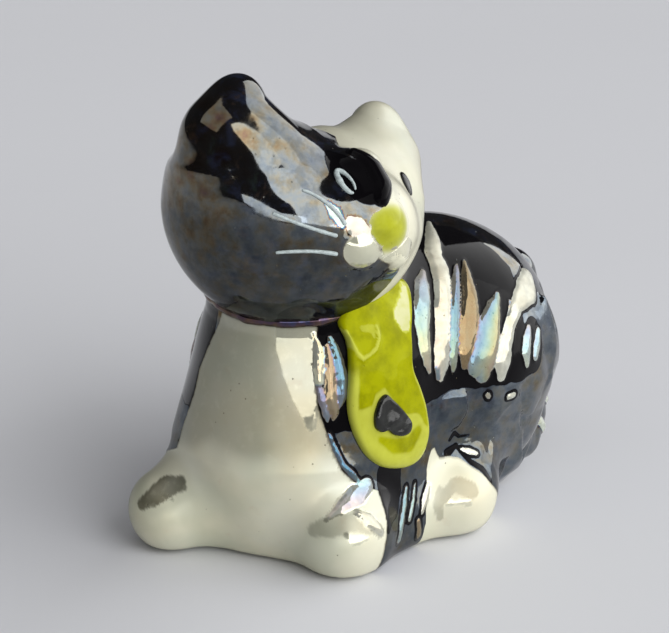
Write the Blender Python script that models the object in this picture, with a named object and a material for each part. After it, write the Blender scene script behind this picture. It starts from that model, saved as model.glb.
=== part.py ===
"""Cat figurine in lustre-glazed porcelain, standing on four short paws.

Sizes are in millimetres and turn into metres where a mesh is made. +Z is up and the
cat looks along -Y. Its trunk lies along X, with the chest at the -X end, so the head
is turned to its own left. The figure is luted together from castings. A casting is a
skin: rays run out from a point inside it to the surface of a blend of rounded lobes.
Reliefs such as the necktie are plates laid on such a skin. A piece that seats in
another cuts its own shape, grown by SEAM, out of that neighbour.
"""

import math

import bmesh
import bpy
import numpy as np
from mathutils import Matrix, Vector

MM = 0.001

# Gap between pieces that touch
SEAM = 0.3

# Trunk
TRUNK_HALF_PITCH = 9.4
CHEST_RADIUS = 11.7
CHEST_CENTRE_Z = 11.0
NECK_RADIUS = 8.2
NECK_Z = 24.0
RUMP_RADIUS = 13.2
RUMP_CENTRE_Z = 13.2
HAUNCH_RADIUS = 12.2
HAUNCH_DROP = 4.0
BACK_RADIUS = 11.3
BACK_START = (-3.0, 0.0, 17.5)
BACK_END_Z = 15.6
BELLY_RADII = (17.0, 10.0, 9.0)
SKIRT_RADIUS = 3.6
SKIRT_SIDE = 9.4
SKIRT_Z = 2.6
SKIRT_REACH = 3.0
APRON_ENDS = ((-16.6, 5.0), (-11.0, -7.6))
APRON_RADIUS = 3.2
TRUNK_FILLET = 5.0

# Paws: the middle of each toe on the ground, then the sizes that they share
TOES = {
    "front_paw_right": (-20.4, 5.8),
    "front_paw_left": (-12.75, -10.6),
    "hind_paw_left": (2.2, -11.5),
    "hind_paw_right": (4.5, 10.8),
}
FRONT_TOE_RADIUS = 4.3
HIND_TOE_RADIUS = 4.0
TOE_SINK = 0.5
ANKLE_RADIUS = 4.7
ANKLE_RISE = 3.0
PAW_LENGTH = 6.0
PAW_FILLET = 2.5
PAW_SOCKET_RADIUS = 5.6

# Tail: down the back of the rump, from one bearing to the other, measured from +X
TAIL_BEARINGS = (math.radians(-2), math.radians(-36))
TAIL_TOP = math.radians(26)
TAIL_LOW_Z = 3.2
TAIL_ROOT_RADIUS = 3.0
TAIL_TIP_RADIUS = 2.3
TAIL_PROUD = -0.7

# Head, in its own frame: left, up, forward
HEAD_CENTRE = (-9.4, -0.5, 34.6)
HEAD_ROLL = math.radians(21.1)
HEAD_HALF_WIDTH = 13.7
HEAD_HALF_DEPTH = 12.0
HEAD_CROWN = 7.5
HEAD_CHIN = 11.9
HEAD_FILLET = 3.0
EAR_ROOT = (8.3, 3.3, -0.4)
EAR_ROOT_RADIUS = 6.1
EAR_TIP = (9.9, 9.2, -1.4)
EAR_TIP_RADIUS = 2.1
EAR_SHOULDER = (11.3, 5.5, -0.7)
EAR_SHOULDER_RADIUS = 4.0
TEMPLE = (5.6, 3.1, 0.2)
TEMPLE_RADIUS = 4.9
EAR_FRONT = (8.5, 4.8, 0.6)
EAR_FRONT_RADIUS = 3.1
BROW = (7.6, 2.9, 2.1)
BROW_RADIUS = 4.0
EAR_SEAM = (8.0, 6.4, 0.0)
EAR_SEAM_TILT = math.radians(27)

# Muzzle, in the head's frame
SNOUT_CENTRE = (0.0, 0.5, 9.6)
SNOUT_RADII = (4.8, 4.2, 3.5)
BRIDGE_TOP = (-1.4, 5.6, 8.4)
BRIDGE_TOP_RADIUS = 1.8
BRIDGE_END = (-1.4, 3.8, 11.3)
BRIDGE_END_RADIUS = 1.2
MUZZLE_FILLET = 1.5
NOSE_CENTRE = (-0.4, 0.8, 12.3)
NOSE_RADII = (2.0, 2.2, 1.8)
PADS = {
    "muzzle_pad_right": ((-2.6, -0.9, 11.5), (2.0, 2.1, 1.8)),
    "muzzle_pad_left": ((1.9, -1.4, 12.0), (1.7, 1.4, 1.5)),
}

# Enamel on the face: left and up in the head's frame
EYE_RING_AT = (-4.3, 4.4)
EYE_RING_RADIUS = 0.78
EYE_RING_STROKE = 0.2
EYE_RING_OPEN = (math.radians(-15), math.radians(-80))
EYE_SPOT_AT = (6.4, 4.8)
EYE_SPOT_SIZE = (1.3, 2.1)
EYE_SPOT_RELIEF = 0.3
WHISKERS = {
    "whisker_upper": ((-5.3, 0.6), (-6.8, 2.0), (-8.6, 2.6)),
    "whisker_middle": ((-5.7, -0.7), (-8.3, -0.5), (-10.7, -0.1)),
    "whisker_lower": ((-5.0, -2.4), (-7.4, -2.8), (-9.4, -3.6)),
}
WHISKER_STROKE = 0.26

# Collar and necktie
COLLAR_STROKE = 0.6
TIE_CENTRE = (-7.0, 17.9)
TIE_LENGTH = 16.8
TIE_LEAN = math.radians(4)
TIE_END_HALF_WIDTH = 5.6
TIE_WAIST_HALF_WIDTH = 3.9
TIE_WAIST_AT = 0.15
TIE_RELIEF = 1.1
HEART_CENTRE = (-7.3, 15.1)
HEART_SIZE = (4.3, 4.3)
HEART_LEAN = math.radians(12)
HEART_RELIEF = 0.7

# Glazes: sRGB colour, metallic, roughness
BLACK_LUSTRE = ((34, 33, 36), 0.6, 0.12)
PEARL_WHITE = ((214, 212, 196), 0.0, 0.15)
LIME_GLAZE = ((150, 152, 12), 0.0, 0.12)
WHITE_ENAMEL = ((205, 214, 212), 0.0, 0.3)
BLACK_ENAMEL = ((18, 18, 18), 0.0, 0.2)
SHARP_ANGLE = math.radians(35)

# Mesh fineness and fixed references
BODY_CORE = (0.0, 0.0, 12.0)
BODY_SEGMENTS = 56
HEAD_SEGMENTS = 46
SEAT_SEGMENTS = 32
PAW_SEGMENTS = 24
SOCKET_SEGMENTS = 22
SMALL_SEGMENTS = 16
RINGS_PER_SEGMENT = 0.6
EAR_CORE = (9.6, 6.6, -1.0)
PAW_CORE = 0.4
GROUND = ((0.0, 0.0, 0.0), (0.0, 0.0, -1.0))
COLLAR_DIPS = (math.radians(-89), math.radians(-10))
COLLAR_STATIONS = 36
COLLAR_SIDES = 6
TAIL_STATIONS = 14
TAIL_SIDES = 12
TIE_STATIONS = 36
TIE_SQUARENESS = 2.8
HEART_STATIONS = 20
HEART_WAVES = (-0.867, 0.333, 0.133, 0.067)
EYE_RING_STATIONS = 12
EYE_SPOT_STATIONS = 12
WHISKER_STATIONS = 5
ENAMEL_SIDES = 6
CAP_TURNS = tuple(math.radians(degrees) for degrees in (30, 58, 80))
PILLOW_TOP = ((1.0, 0.45), (0.96, 0.78), (0.86, 0.96), (0.6, 1.0), (0.3, 1.0), (0.0, 1.0))
PILLOW_BACK = ((1.0, 0.0), (0.6, 0.0), (0.0, 0.0))
RAY_REACH = 60.0
HALVINGS = 40
SLOPE_STEP = 0.01
SLIVER = 0.008


def point(values):
    """A point or a direction as an array."""
    return np.array(values, dtype=float)


def ball(centre, radii, axes=None):
    """Distance to an ellipsoid. A radius may be a pair: below and above the centre."""

    def distance(p):
        local = p - point(centre)
        if axes is not None:
            local = local @ axes
        reach = np.empty_like(local)
        for i, radius in enumerate(radii):
            low, high = radius if np.ndim(radius) else (radius, radius)
            reach[:, i] = np.where(local[:, i] > 0.0, high, low)
        near = np.linalg.norm(local / reach, axis=1)
        steep = np.linalg.norm(local / reach**2, axis=1)
        return near * (near - 1.0) / np.maximum(steep, 1e-9)

    return distance


def limb(start, end, start_radius, end_radius):
    """Distance to a tapered rod with round ends."""
    start, end = point(start), point(end)
    axis = end - start

    def distance(p):
        local = p - start
        t = np.clip(local @ axis / (axis @ axis), 0.0, 1.0)
        radius = start_radius + t * (end_radius - start_radius)
        return np.linalg.norm(local - t[:, None] * axis, axis=1) - radius

    return distance


def melt(fillet, *lobes):
    """Distance to lobes run together, with a fillet of about this size where they meet."""

    def distance(p):
        result = lobes[0](p)
        for lobe in lobes[1:]:
            other = lobe(p)
            h = np.clip(0.5 + 0.5 * (other - result) / fillet, 0.0, 1.0)
            result = other * (1.0 - h) + result * h - fillet * h * (1.0 - h)
        return result

    return distance


def head_axes():
    """Columns left, up and forward of the head, in the figure's frame."""
    c, s = math.cos(HEAD_ROLL), math.sin(HEAD_ROLL)
    return np.array([[c, s, 0.0], [0.0, 0.0, -1.0], [-s, c, 0.0]])


def on_head(local):
    """Points of the head's frame in the figure's frame."""
    return point(HEAD_CENTRE) + point(local) @ head_axes().T


def mirrored(local):
    """The same point on the head's other side."""
    return (-local[0], local[1], local[2])


def trunk_form():
    """Chest, neck, rump, back and belly run together, filled out low between the paws."""
    chest_x, rump_x = -TRUNK_HALF_PITCH, TRUNK_HALF_PITCH
    chest = limb((chest_x, 0.0, CHEST_CENTRE_Z), (chest_x, 0.0, NECK_Z), CHEST_RADIUS, NECK_RADIUS)
    haunch_z = RUMP_CENTRE_Z - HAUNCH_DROP
    rump = limb((rump_x, 0.0, haunch_z), (rump_x, 0.0, RUMP_CENTRE_Z), HAUNCH_RADIUS, RUMP_RADIUS)
    back = limb(BACK_START, (rump_x, 0.0, BACK_END_Z), BACK_RADIUS, BACK_RADIUS)
    belly = ball((0.0, 0.0, BELLY_RADII[2]), BELLY_RADII)
    skirts = [
        limb((chest_x, side, SKIRT_Z), (SKIRT_REACH, side, SKIRT_Z), SKIRT_RADIUS, SKIRT_RADIUS)
        for side in (-SKIRT_SIDE, SKIRT_SIDE)
    ]
    low = [(*end, SKIRT_Z) for end in APRON_ENDS]
    apron = limb(*low, APRON_RADIUS, APRON_RADIUS)
    return melt(TRUNK_FILLET, chest, rump, back, belly, *skirts, apron)


def toe_radius(name):
    return FRONT_TOE_RADIUS if name.startswith("front") else HIND_TOE_RADIUS


def toe_centre(name):
    """Middle of a toe. It sinks a little below the ground, where the base cuts it flat."""
    return point((*TOES[name], toe_radius(name) - TOE_SINK))


def ankle_centre(name):
    """Where a paw starts: inside the chest or the rump, a little higher than the toe."""
    toe = toe_centre(name)
    lobe = point((math.copysign(TRUNK_HALF_PITCH, toe[0]), 0.0, toe[2]))
    inward = (lobe - toe) / np.linalg.norm(lobe - toe)
    return toe + PAW_LENGTH * inward + point((0.0, 0.0, ANKLE_RISE))


def paw_form(name):
    """One paw: a rod from the ankle out to the toe."""
    return limb(ankle_centre(name), toe_centre(name), ANKLE_RADIUS, toe_radius(name))


def body_form():
    """The trunk with its four paws."""
    return melt(PAW_FILLET, trunk_form(), *[paw_form(name) for name in TOES])


def ear_forms(side):
    """An ear: a cone from the cheek to a blunt tip, a full outer shoulder, and a smooth fall to the brow."""
    cone = limb(on_head(side(EAR_ROOT)), on_head(side(EAR_TIP)), EAR_ROOT_RADIUS, EAR_TIP_RADIUS)
    shoulder = ball(on_head(side(EAR_SHOULDER)), (EAR_SHOULDER_RADIUS,) * 3)
    front = limb(on_head(side(TEMPLE)), on_head(side(EAR_FRONT)), TEMPLE_RADIUS, EAR_FRONT_RADIUS)
    return [cone, shoulder, front, ball(on_head(side(BROW)), (BROW_RADIUS,) * 3)]


def head_form():
    """Head ball with both ears, the snout and the bridge of the nose run into it."""
    axes = head_axes()
    skull = ball(HEAD_CENTRE, (HEAD_HALF_WIDTH, (HEAD_CHIN, HEAD_CROWN), HEAD_HALF_DEPTH), axes)
    snout = ball(on_head(SNOUT_CENTRE), SNOUT_RADII, axes)
    ridge = limb(on_head(BRIDGE_TOP), on_head(BRIDGE_END), BRIDGE_TOP_RADIUS, BRIDGE_END_RADIUS)
    muzzle = melt(MUZZLE_FILLET, snout, ridge)
    return melt(HEAD_FILLET, skull, *ear_forms(tuple), *ear_forms(mirrored), muzzle)


def ray_ends(form, centre, rays, grown=0.0):
    """Where rays from a point inside a form cross its surface, found by halving."""
    near, far = np.zeros(len(rays)), np.full(len(rays), RAY_REACH)
    for _ in range(HALVINGS):
        middle = 0.5 * (near + far)
        inside = form(point(centre) + rays * middle[:, None]) < grown
        near, far = np.where(inside, middle, near), np.where(inside, far, middle)
    return point(centre) + rays * near[:, None]


def outward(form, places):
    """Unit normals of a form at places on it."""
    steps = SLOPE_STEP * np.eye(3)
    slopes = [form(places + step) - form(places - step) for step in steps]
    normals = np.stack(slopes, axis=1)
    return normals / np.linalg.norm(normals, axis=1)[:, None]


def finish(name, mesh):
    """Turns a bmesh in millimetres into a smooth-shaded object in metres."""
    bmesh.ops.recalc_face_normals(mesh, faces=mesh.faces)
    mesh.transform(Matrix.Scale(MM, 4))
    data = bpy.data.meshes.new(name)
    mesh.to_mesh(data)
    mesh.free()
    obj = bpy.data.objects.new(name, data)
    bpy.context.collection.objects.link(obj)
    return obj


def trim(mesh, place, normal):
    """Cuts a bmesh by a plane, drops what lies beyond it and closes the cut flat."""
    geometry = mesh.verts[:] + mesh.edges[:] + mesh.faces[:]
    bmesh.ops.bisect_plane(
        mesh, geom=geometry, plane_co=Vector(place), plane_no=Vector(normal), clear_outer=True
    )
    rim = [edge for edge in mesh.edges if edge.is_boundary]
    bmesh.ops.edgeloop_fill(mesh, edges=rim)


def skin(name, form, centre, segments, grown=0.0, planes=()):
    """A casting: a sphere of rays from its centre, run out to the form, trimmed by planes."""
    mesh = bmesh.new()
    rings = round(RINGS_PER_SEGMENT * segments)
    bmesh.ops.create_uvsphere(mesh, u_segments=segments, v_segments=rings, radius=1.0)
    rays = np.array([vert.co for vert in mesh.verts])
    rays /= np.linalg.norm(rays, axis=1)[:, None]
    for vert, place in zip(mesh.verts, ray_ends(form, centre, rays, grown)):
        vert.co = Vector(place)
    for place, normal in planes:
        trim(mesh, place, normal)
    return finish(name, mesh)


def stroke(name, path, normals, radii, sides, closed=False, grown=0.0):
    """A brush stroke or a cord: rings of points round a path, with round ends if it is open."""
    if closed:
        along = np.roll(path, -1, axis=0) - np.roll(path, 1, axis=0)
    else:
        along = np.gradient(path, axis=0)
    along /= np.linalg.norm(along, axis=1)[:, None]
    stations = [(p, a, n, r + grown) for p, a, n, r in zip(path, along, normals, radii)]
    if not closed:
        stations = end_cap(stations[0], -1.0)[::-1] + stations + end_cap(stations[-1], 1.0)
    mesh = bmesh.new()
    rings = [stroke_ring(mesh, *station, sides) for station in stations]
    for ring, after in zip(rings, rings[1:] + rings[:1] if closed else rings[1:]):
        for k in range(sides):
            mesh.faces.new((ring[k], ring[k - 1], after[k - 1], after[k]))
    if not closed:
        mesh.faces.new(rings[0])
        mesh.faces.new(rings[-1])
    return finish(name, mesh)


def end_cap(station, direction):
    """The shrinking rings that round off one end of a stroke."""
    place, along, normal, radius = station
    return [
        (place + direction * radius * math.sin(t) * along, along, normal, radius * math.cos(t))
        for t in CAP_TURNS
    ]


def stroke_ring(mesh, place, along, normal, radius, sides):
    """One ring of a stroke, square to its path."""
    across = np.cross(along, normal)
    across /= np.linalg.norm(across)
    lift = np.cross(across, along)
    turns = 2.0 * math.pi * np.arange(sides) / sides
    return [
        mesh.verts.new(Vector(place + radius * (math.cos(t) * across + math.sin(t) * lift)))
        for t in turns
    ]


def plate(name, form, inside, across, up, outline, relief, lift=SEAM):
    """A relief laid on a form: its outline drawn in ring by ring to a pillow."""
    facing = np.cross(across, up)
    facing /= np.linalg.norm(facing)
    mesh = bmesh.new()
    sheets = []
    for profile in (PILLOW_TOP, PILLOW_BACK):
        rings = []
        for fraction, height in profile:
            ring = outline * fraction if fraction else np.zeros((1, 2))
            starts = point(inside) + ring[:, :1] * across + ring[:, 1:] * up
            base = ray_ends(form, starts, np.tile(facing, (len(ring), 1)))
            places = base + (lift + height * relief) * outward(form, base)
            rings.append([mesh.verts.new(Vector(place)) for place in places])
        sheets.append(rings)
    for top, rings in zip((True, False), sheets):
        for outer, inner in zip(rings, rings[1:]):
            bridge(mesh, outer, inner)
    bridge(mesh, sheets[1][0], sheets[0][0])
    return finish(name, mesh)


def bridge(mesh, outer, inner):
    """Faces between two rings of as many points, or between a ring and its middle point."""
    for k, vert in enumerate(outer):
        if len(inner) == 1:
            mesh.faces.new((outer[k - 1], vert, inner[0]))
        else:
            mesh.faces.new((outer[k - 1], vert, inner[k], inner[k - 1]))


def weld_slivers(data):
    """Takes out the tiny edges that a cut leaves where two skins nearly meet at a point."""
    mesh = bmesh.new()
    mesh.from_mesh(data)
    bmesh.ops.dissolve_degenerate(mesh, dist=SLIVER * MM, edges=mesh.edges)
    mesh.to_mesh(data)
    mesh.free()


def carve(target, cutter, operation="DIFFERENCE"):
    """Cuts or keeps the cutter's shape in the target, and removes the cutter."""
    modifier = target.modifiers.new(cutter.name, "BOOLEAN")
    modifier.operation = operation
    modifier.solver = "EXACT"
    modifier.object = cutter
    evaluated = target.evaluated_get(bpy.context.evaluated_depsgraph_get())
    carved = bpy.data.meshes.new_from_object(evaluated)
    weld_slivers(carved)
    target.modifiers.clear()
    target.data = carved
    bpy.data.objects.remove(cutter)


def glaze(obj, finish_values):
    """Gives a piece its own glaze and smooth shading with crisp seams."""
    colour, metallic, roughness = finish_values
    material = bpy.data.materials.new(obj.name)
    material.use_nodes = True
    shader = material.node_tree.nodes["Principled BSDF"]
    linear = [((c / 255 + 0.055) / 1.055) ** 2.4 if c > 10 else c / 255 / 12.92 for c in colour]
    shader.inputs["Base Color"].default_value = (*linear, 1.0)
    shader.inputs["Metallic"].default_value = metallic
    shader.inputs["Roughness"].default_value = roughness
    obj.data.materials.clear()
    obj.data.materials.append(material)
    obj.data.shade_smooth()
    obj.data.set_sharp_from_angle(angle=SHARP_ANGLE)


def face_points(places):
    """Where points given as left and up of the head's frame meet its face, and the normals."""
    form = head_form()
    starts = on_head([(left, up, 0.0) for left, up in places])
    forward = np.tile(head_axes()[:, 2], (len(starts), 1))
    base = ray_ends(form, starts, forward)
    return base, outward(form, base)


def tail(name="tail", grown=0.0):
    """The tail lies down the back of the rump and curls towards the left hind paw."""
    form = body_form()
    lowest = math.asin((TAIL_LOW_Z - RUMP_CENTRE_Z) / RUMP_RADIUS)
    along = np.linspace(0.0, 1.0, TAIL_STATIONS)
    bearing = TAIL_BEARINGS[0] + (TAIL_BEARINGS[1] - TAIL_BEARINGS[0]) * along**2
    z = RUMP_CENTRE_Z + RUMP_RADIUS * np.sin(TAIL_TOP + (lowest - TAIL_TOP) * along)
    axis = np.stack([np.full(TAIL_STATIONS, TRUNK_HALF_PITCH), np.zeros(TAIL_STATIONS), z], axis=1)
    rays = np.stack([np.cos(bearing), np.sin(bearing), np.zeros(TAIL_STATIONS)], axis=1)
    base = ray_ends(form, axis, rays)
    normals = outward(form, base)
    radii = TAIL_ROOT_RADIUS + (TAIL_TIP_RADIUS - TAIL_ROOT_RADIUS) * along
    return stroke(name, base + TAIL_PROUD * normals, normals, radii, TAIL_SIDES, grown=grown)


def collar(name="collar", grown=0.0):
    """A cord laid in the crease where the head meets the body."""
    body, head = body_form(), head_form()
    turns = 2.0 * math.pi * np.arange(COLLAR_STATIONS) / COLLAR_STATIONS
    low, high = (np.full(COLLAR_STATIONS, dip) for dip in COLLAR_DIPS)
    for _ in range(HALVINGS):
        dip = 0.5 * (low + high)
        rays = np.stack([np.cos(dip) * np.cos(turns), np.cos(dip) * np.sin(turns), np.sin(dip)], axis=1)
        crease = ray_ends(head, HEAD_CENTRE, rays)
        sunk = body(crease) < 0.0
        low, high = np.where(sunk, dip, low), np.where(sunk, high, dip)
    normals = outward(head, crease) + outward(body, crease)
    normals /= np.linalg.norm(normals, axis=1)[:, None]
    radii = np.full(COLLAR_STATIONS, COLLAR_STROKE)
    return stroke(name, crease, normals, radii, COLLAR_SIDES, closed=True, grown=grown)


def necktie():
    """A broad tie, waisted and round at its end, down the side of the chest under the chin."""
    turns = 2.0 * math.pi * np.arange(TIE_STATIONS) / TIE_STATIONS
    rounded = np.stack([np.cos(turns), np.sin(turns)], axis=1)
    rounded = np.sign(rounded) * np.abs(rounded) ** (2.0 / TIE_SQUARENESS)
    flare = (rounded[:, 1] - TIE_WAIST_AT) ** 2
    half_width = TIE_WAIST_HALF_WIDTH + (TIE_END_HALF_WIDTH - TIE_WAIST_HALF_WIDTH) * flare
    outline = rounded * np.stack([half_width, np.full(TIE_STATIONS, 0.5 * TIE_LENGTH)], axis=1)
    return relief_on_chest("necktie", outline, TIE_CENTRE, TIE_LEAN, TIE_RELIEF, SEAM)


def tie_heart():
    """A heart on the tie, its point upwards."""
    turns = 2.0 * math.pi * np.arange(HEART_STATIONS) / HEART_STATIONS
    waves = [weight * np.cos(k * turns) for k, weight in enumerate(HEART_WAVES, start=1)]
    outline = 0.5 * np.stack([np.sin(turns) ** 3, sum(waves)], axis=1) * point(HEART_SIZE)
    lift = SEAM + TIE_RELIEF + SEAM
    return relief_on_chest("tie_heart", outline, HEART_CENTRE, HEART_LEAN, HEART_RELIEF, lift)


def relief_on_chest(name, outline, centre, lean, relief, lift):
    """A plate on the chest's left side, seen square from the front and leaning to the rump."""
    across = point((math.cos(lean), 0.0, math.sin(lean)))
    up = point((-math.sin(lean), 0.0, math.cos(lean)))
    inside = (centre[0], 0.0, centre[1])
    return plate(name, body_form(), inside, across, up, outline, relief, lift)


def eye_ring():
    """The right eye: a crescent of white enamel, open towards the nose."""
    first, last = EYE_RING_OPEN[0], EYE_RING_OPEN[1] + 2.0 * math.pi
    turns = np.linspace(first, last, EYE_RING_STATIONS)
    ring = point(EYE_RING_AT) + EYE_RING_RADIUS * np.stack([np.cos(turns), np.sin(turns)], axis=1)
    return enamel_stroke("eye_ring", ring, EYE_RING_STROKE)


def eye_spot():
    """The left eye: an oval of black enamel."""
    turns = 2.0 * math.pi * np.arange(EYE_SPOT_STATIONS) / EYE_SPOT_STATIONS
    outline = 0.5 * np.stack([np.cos(turns), np.sin(turns)], axis=1) * point(EYE_SPOT_SIZE)
    axes = head_axes()
    inside = on_head((*EYE_SPOT_AT, 0.0))
    return plate("eye_spot", head_form(), inside, axes[:, 0], axes[:, 1], outline, EYE_SPOT_RELIEF)


def whisker(name):
    """One whisker: a curved stroke of white enamel from the muzzle out over the cheek."""
    start, bend, end = (point(place) for place in WHISKERS[name])
    t = np.linspace(0.0, 1.0, WHISKER_STATIONS)[:, None]
    middle = 2.0 * bend - 0.5 * (start + end)
    path = (1 - t) ** 2 * start + 2 * t * (1 - t) * middle + t**2 * end
    return enamel_stroke(name, path, WHISKER_STROKE)


def enamel_stroke(name, path, radius):
    """A stroke of enamel along points of the face."""
    base, normals = face_points(path)
    radii = np.full(len(base), radius)
    return stroke(name, base + (SEAM + radius) * normals, normals, radii, ENAMEL_SIDES)


def socket(name, grown=0.0):
    """The ball in which a paw is parted from the body."""
    centre = toe_centre(name)
    return skin("socket", ball(centre, (PAW_SOCKET_RADIUS,) * 3), centre, SOCKET_SEGMENTS, grown)


def paw(name):
    """A paw: the body's own outer form inside its socket."""
    core = toe_centre(name) + PAW_CORE * (ankle_centre(name) - toe_centre(name))
    obj = skin(name, body_form(), core, PAW_SEGMENTS, planes=[GROUND])
    carve(obj, socket(name), "INTERSECT")
    return obj


def ear_plane(side, gap):
    """The seam under an ear, moved out along its normal by a gap."""
    normal = on_head(side((math.sin(EAR_SEAM_TILT), math.cos(EAR_SEAM_TILT), 0.0))) - point(HEAD_CENTRE)
    return on_head(side(EAR_SEAM)) + gap * normal, normal


def ear(name, side):
    """An ear: the head's own outer form beyond the ear's seam."""
    place, normal = ear_plane(side, SEAM)
    return skin(name, head_form(), on_head(side(EAR_CORE)), PAW_SEGMENTS, planes=[(place, -normal)])


def muzzle_ball(name, centre, radii, grown=0.0):
    """The nose or a whisker pad."""
    return skin(name, ball(on_head(centre), radii, head_axes()), on_head(centre), SMALL_SEGMENTS, grown)


def body():
    """The trunk: flat below, dished for the head, with sockets for the paws and the tail."""
    obj = skin("body_casting", body_form(), BODY_CORE, BODY_SEGMENTS, planes=[GROUND])
    for name in TOES:
        carve(obj, socket(name, SEAM))
    carve(obj, skin("neck_seat", head_form(), HEAD_CENTRE, SEAT_SEGMENTS, SEAM))
    carve(obj, tail("tail_seat", SEAM))
    carve(obj, collar("collar_seat", SEAM))
    return obj


def head():
    """The head, less its ears, seated for the nose, the pads and the collar."""
    planes = [ear_plane(side, 0.0) for side in (tuple, mirrored)]
    obj = skin("head_casting", head_form(), HEAD_CENTRE, HEAD_SEGMENTS, planes=planes)
    carve(obj, muzzle_ball("nose_seat", NOSE_CENTRE, NOSE_RADII, SEAM))
    for centre, radii in PADS.values():
        carve(obj, muzzle_ball("pad_seat", centre, radii, SEAM))
    carve(obj, collar("collar_seat", SEAM))
    return obj


def muzzle_pad(name):
    """A whisker pad, hollowed where the nose sits on it, the left one also for the right one."""
    obj = muzzle_ball(name, *PADS[name])
    carve(obj, muzzle_ball("nose_seat", NOSE_CENTRE, NOSE_RADII, SEAM))
    if name == "muzzle_pad_left":
        carve(obj, muzzle_ball("pad_seat", *PADS["muzzle_pad_right"], SEAM))
    return obj


def tie():
    """The necktie, cut back where the chin and the collar cover its upper end."""
    obj = necktie()
    carve(obj, skin("chin_seat", head_form(), HEAD_CENTRE, SEAT_SEGMENTS, SEAM))
    carve(obj, collar("collar_seat", SEAM))
    return obj


def stand_at_origin(pieces):
    """Moves the figure so that it stands on the ground with its outline centred."""
    corners = np.array([vert.co for obj in pieces for vert in obj.data.vertices])
    low, high = corners.min(axis=0), corners.max(axis=0)
    middle = 0.5 * (low + high)
    for obj in pieces:
        obj.location = (-middle[0], -middle[1], -low[2])


def main():
    """Builds the figure piece by piece."""
    for obj in list(bpy.data.objects):
        bpy.data.objects.remove(obj)
    white = [body(), ear("ear_left", tuple)]
    white += [muzzle_pad(name) for name in PADS]
    white += [paw(name) for name in TOES]
    black = [head(), ear("ear_right", mirrored), tail(), collar()]
    lime = [tie(), muzzle_ball("nose_button", NOSE_CENTRE, NOSE_RADII)]
    white_strokes = [eye_ring()] + [whisker(name) for name in WHISKERS]
    black_strokes = [eye_spot(), tie_heart()]
    glazes = (PEARL_WHITE, BLACK_LUSTRE, LIME_GLAZE, WHITE_ENAMEL, BLACK_ENAMEL)
    pieces = []
    for values, group in zip(glazes, (white, black, lime, white_strokes, black_strokes)):
        for obj in group:
            glaze(obj, values)
        pieces += group
    stand_at_origin(pieces)


if __name__ == "__main__":
    main()
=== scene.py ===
"""Looks of the lustre-glazed porcelain cat: its painted skins, raised enamel and studio.

Forms are worked out in millimetres, in the figurine's own frame: +Z up, the face towards
-Y, the trunk along X with the chest at -X. Each casting is a fine skin drawn onto a blend
of rounded lobes. Signed distances to the painted edges are kept on its points, and the
glaze materials turn them into crisp brushed edges.
"""

import math

import bmesh
import bpy
import numpy as np
from bpy.props import FloatProperty, FloatVectorProperty, PointerProperty
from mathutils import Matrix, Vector


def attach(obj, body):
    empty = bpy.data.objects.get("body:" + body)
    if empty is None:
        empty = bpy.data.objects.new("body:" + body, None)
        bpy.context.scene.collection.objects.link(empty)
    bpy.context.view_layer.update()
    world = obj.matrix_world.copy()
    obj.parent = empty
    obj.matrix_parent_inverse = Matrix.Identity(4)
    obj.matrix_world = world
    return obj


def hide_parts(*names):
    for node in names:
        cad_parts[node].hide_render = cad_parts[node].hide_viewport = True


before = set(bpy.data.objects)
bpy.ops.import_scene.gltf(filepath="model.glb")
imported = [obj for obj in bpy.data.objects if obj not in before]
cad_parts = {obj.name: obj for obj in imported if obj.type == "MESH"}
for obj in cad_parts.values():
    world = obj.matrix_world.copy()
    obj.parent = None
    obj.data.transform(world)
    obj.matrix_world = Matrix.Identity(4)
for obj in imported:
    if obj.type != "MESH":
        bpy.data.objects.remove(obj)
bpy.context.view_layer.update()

bl_info = {
    "name": "Lustre-glazed cat figurine",
    "version": (1, 0, 0),
    "blender": (4, 5, 0),
    "location": "View3D > Sidebar > Figurine",
    "description": "Builds the glazed skins, the raised enamel and the studio of a small porcelain cat",
    "category": "Object",
}

MM = 0.001

# A distance beyond any edge of the figurine, and the film's thickness in nanometres off the strokes
FAR_OUT = 50.0
UNMARKED_FILM = 140.0

# Where the figurine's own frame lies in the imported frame, in millimetres
FRAME_SHIFT = np.array((-0.214, 0.32, 0.0))

# Trunk lobes
CHEST_X = -9.4
RUMP_X = 9.4
RUMP_RADIUS = 13.2
TRUNK_FILLET = 5.0
PAW_FILLET = 2.5
TAIL_FILLET = 1.2
TAIL_TIP_Z = 3.2
TAIL_RINGS_AT = (10, 12)
BASE_ROUND = 0.9
PAWS = {
    "front_right": ((-20.4, 5.8), 4.3),
    "front_left": ((-12.75, -10.6), 4.3),
    "hind_left": ((2.2, -11.5), 4.0),
    "hind_right": ((4.5, 10.8), 4.0),
}

# Head, in its own frame: left, up, forward
HEAD_CENTRE = (-9.4, -0.5, 34.6)
HEAD_ROLL = math.radians(21.1)
HEAD_FILLET = 3.0
NECK_FILLET = 0.8
RIDGE_FILLET = 1.5
PAD_FILLET = 0.3
NOSE_FILLET = 0.45
SNOUT_FILLET = 0.9
MUZZLE = {
    "nose": ((-0.8, 0.9, 12.2), (2.4, 2.2, 1.9)),
    "muzzle_pad_right": ((-2.5, -1.2, 11.6), (2.1, 1.9, 1.8)),
    "muzzle_pad_left": ((1.9, -1.4, 12.0), (1.7, 1.4, 1.5)),
}


def point(values):
    """A point or a direction as an array."""
    return np.array(values, dtype=float)


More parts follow.
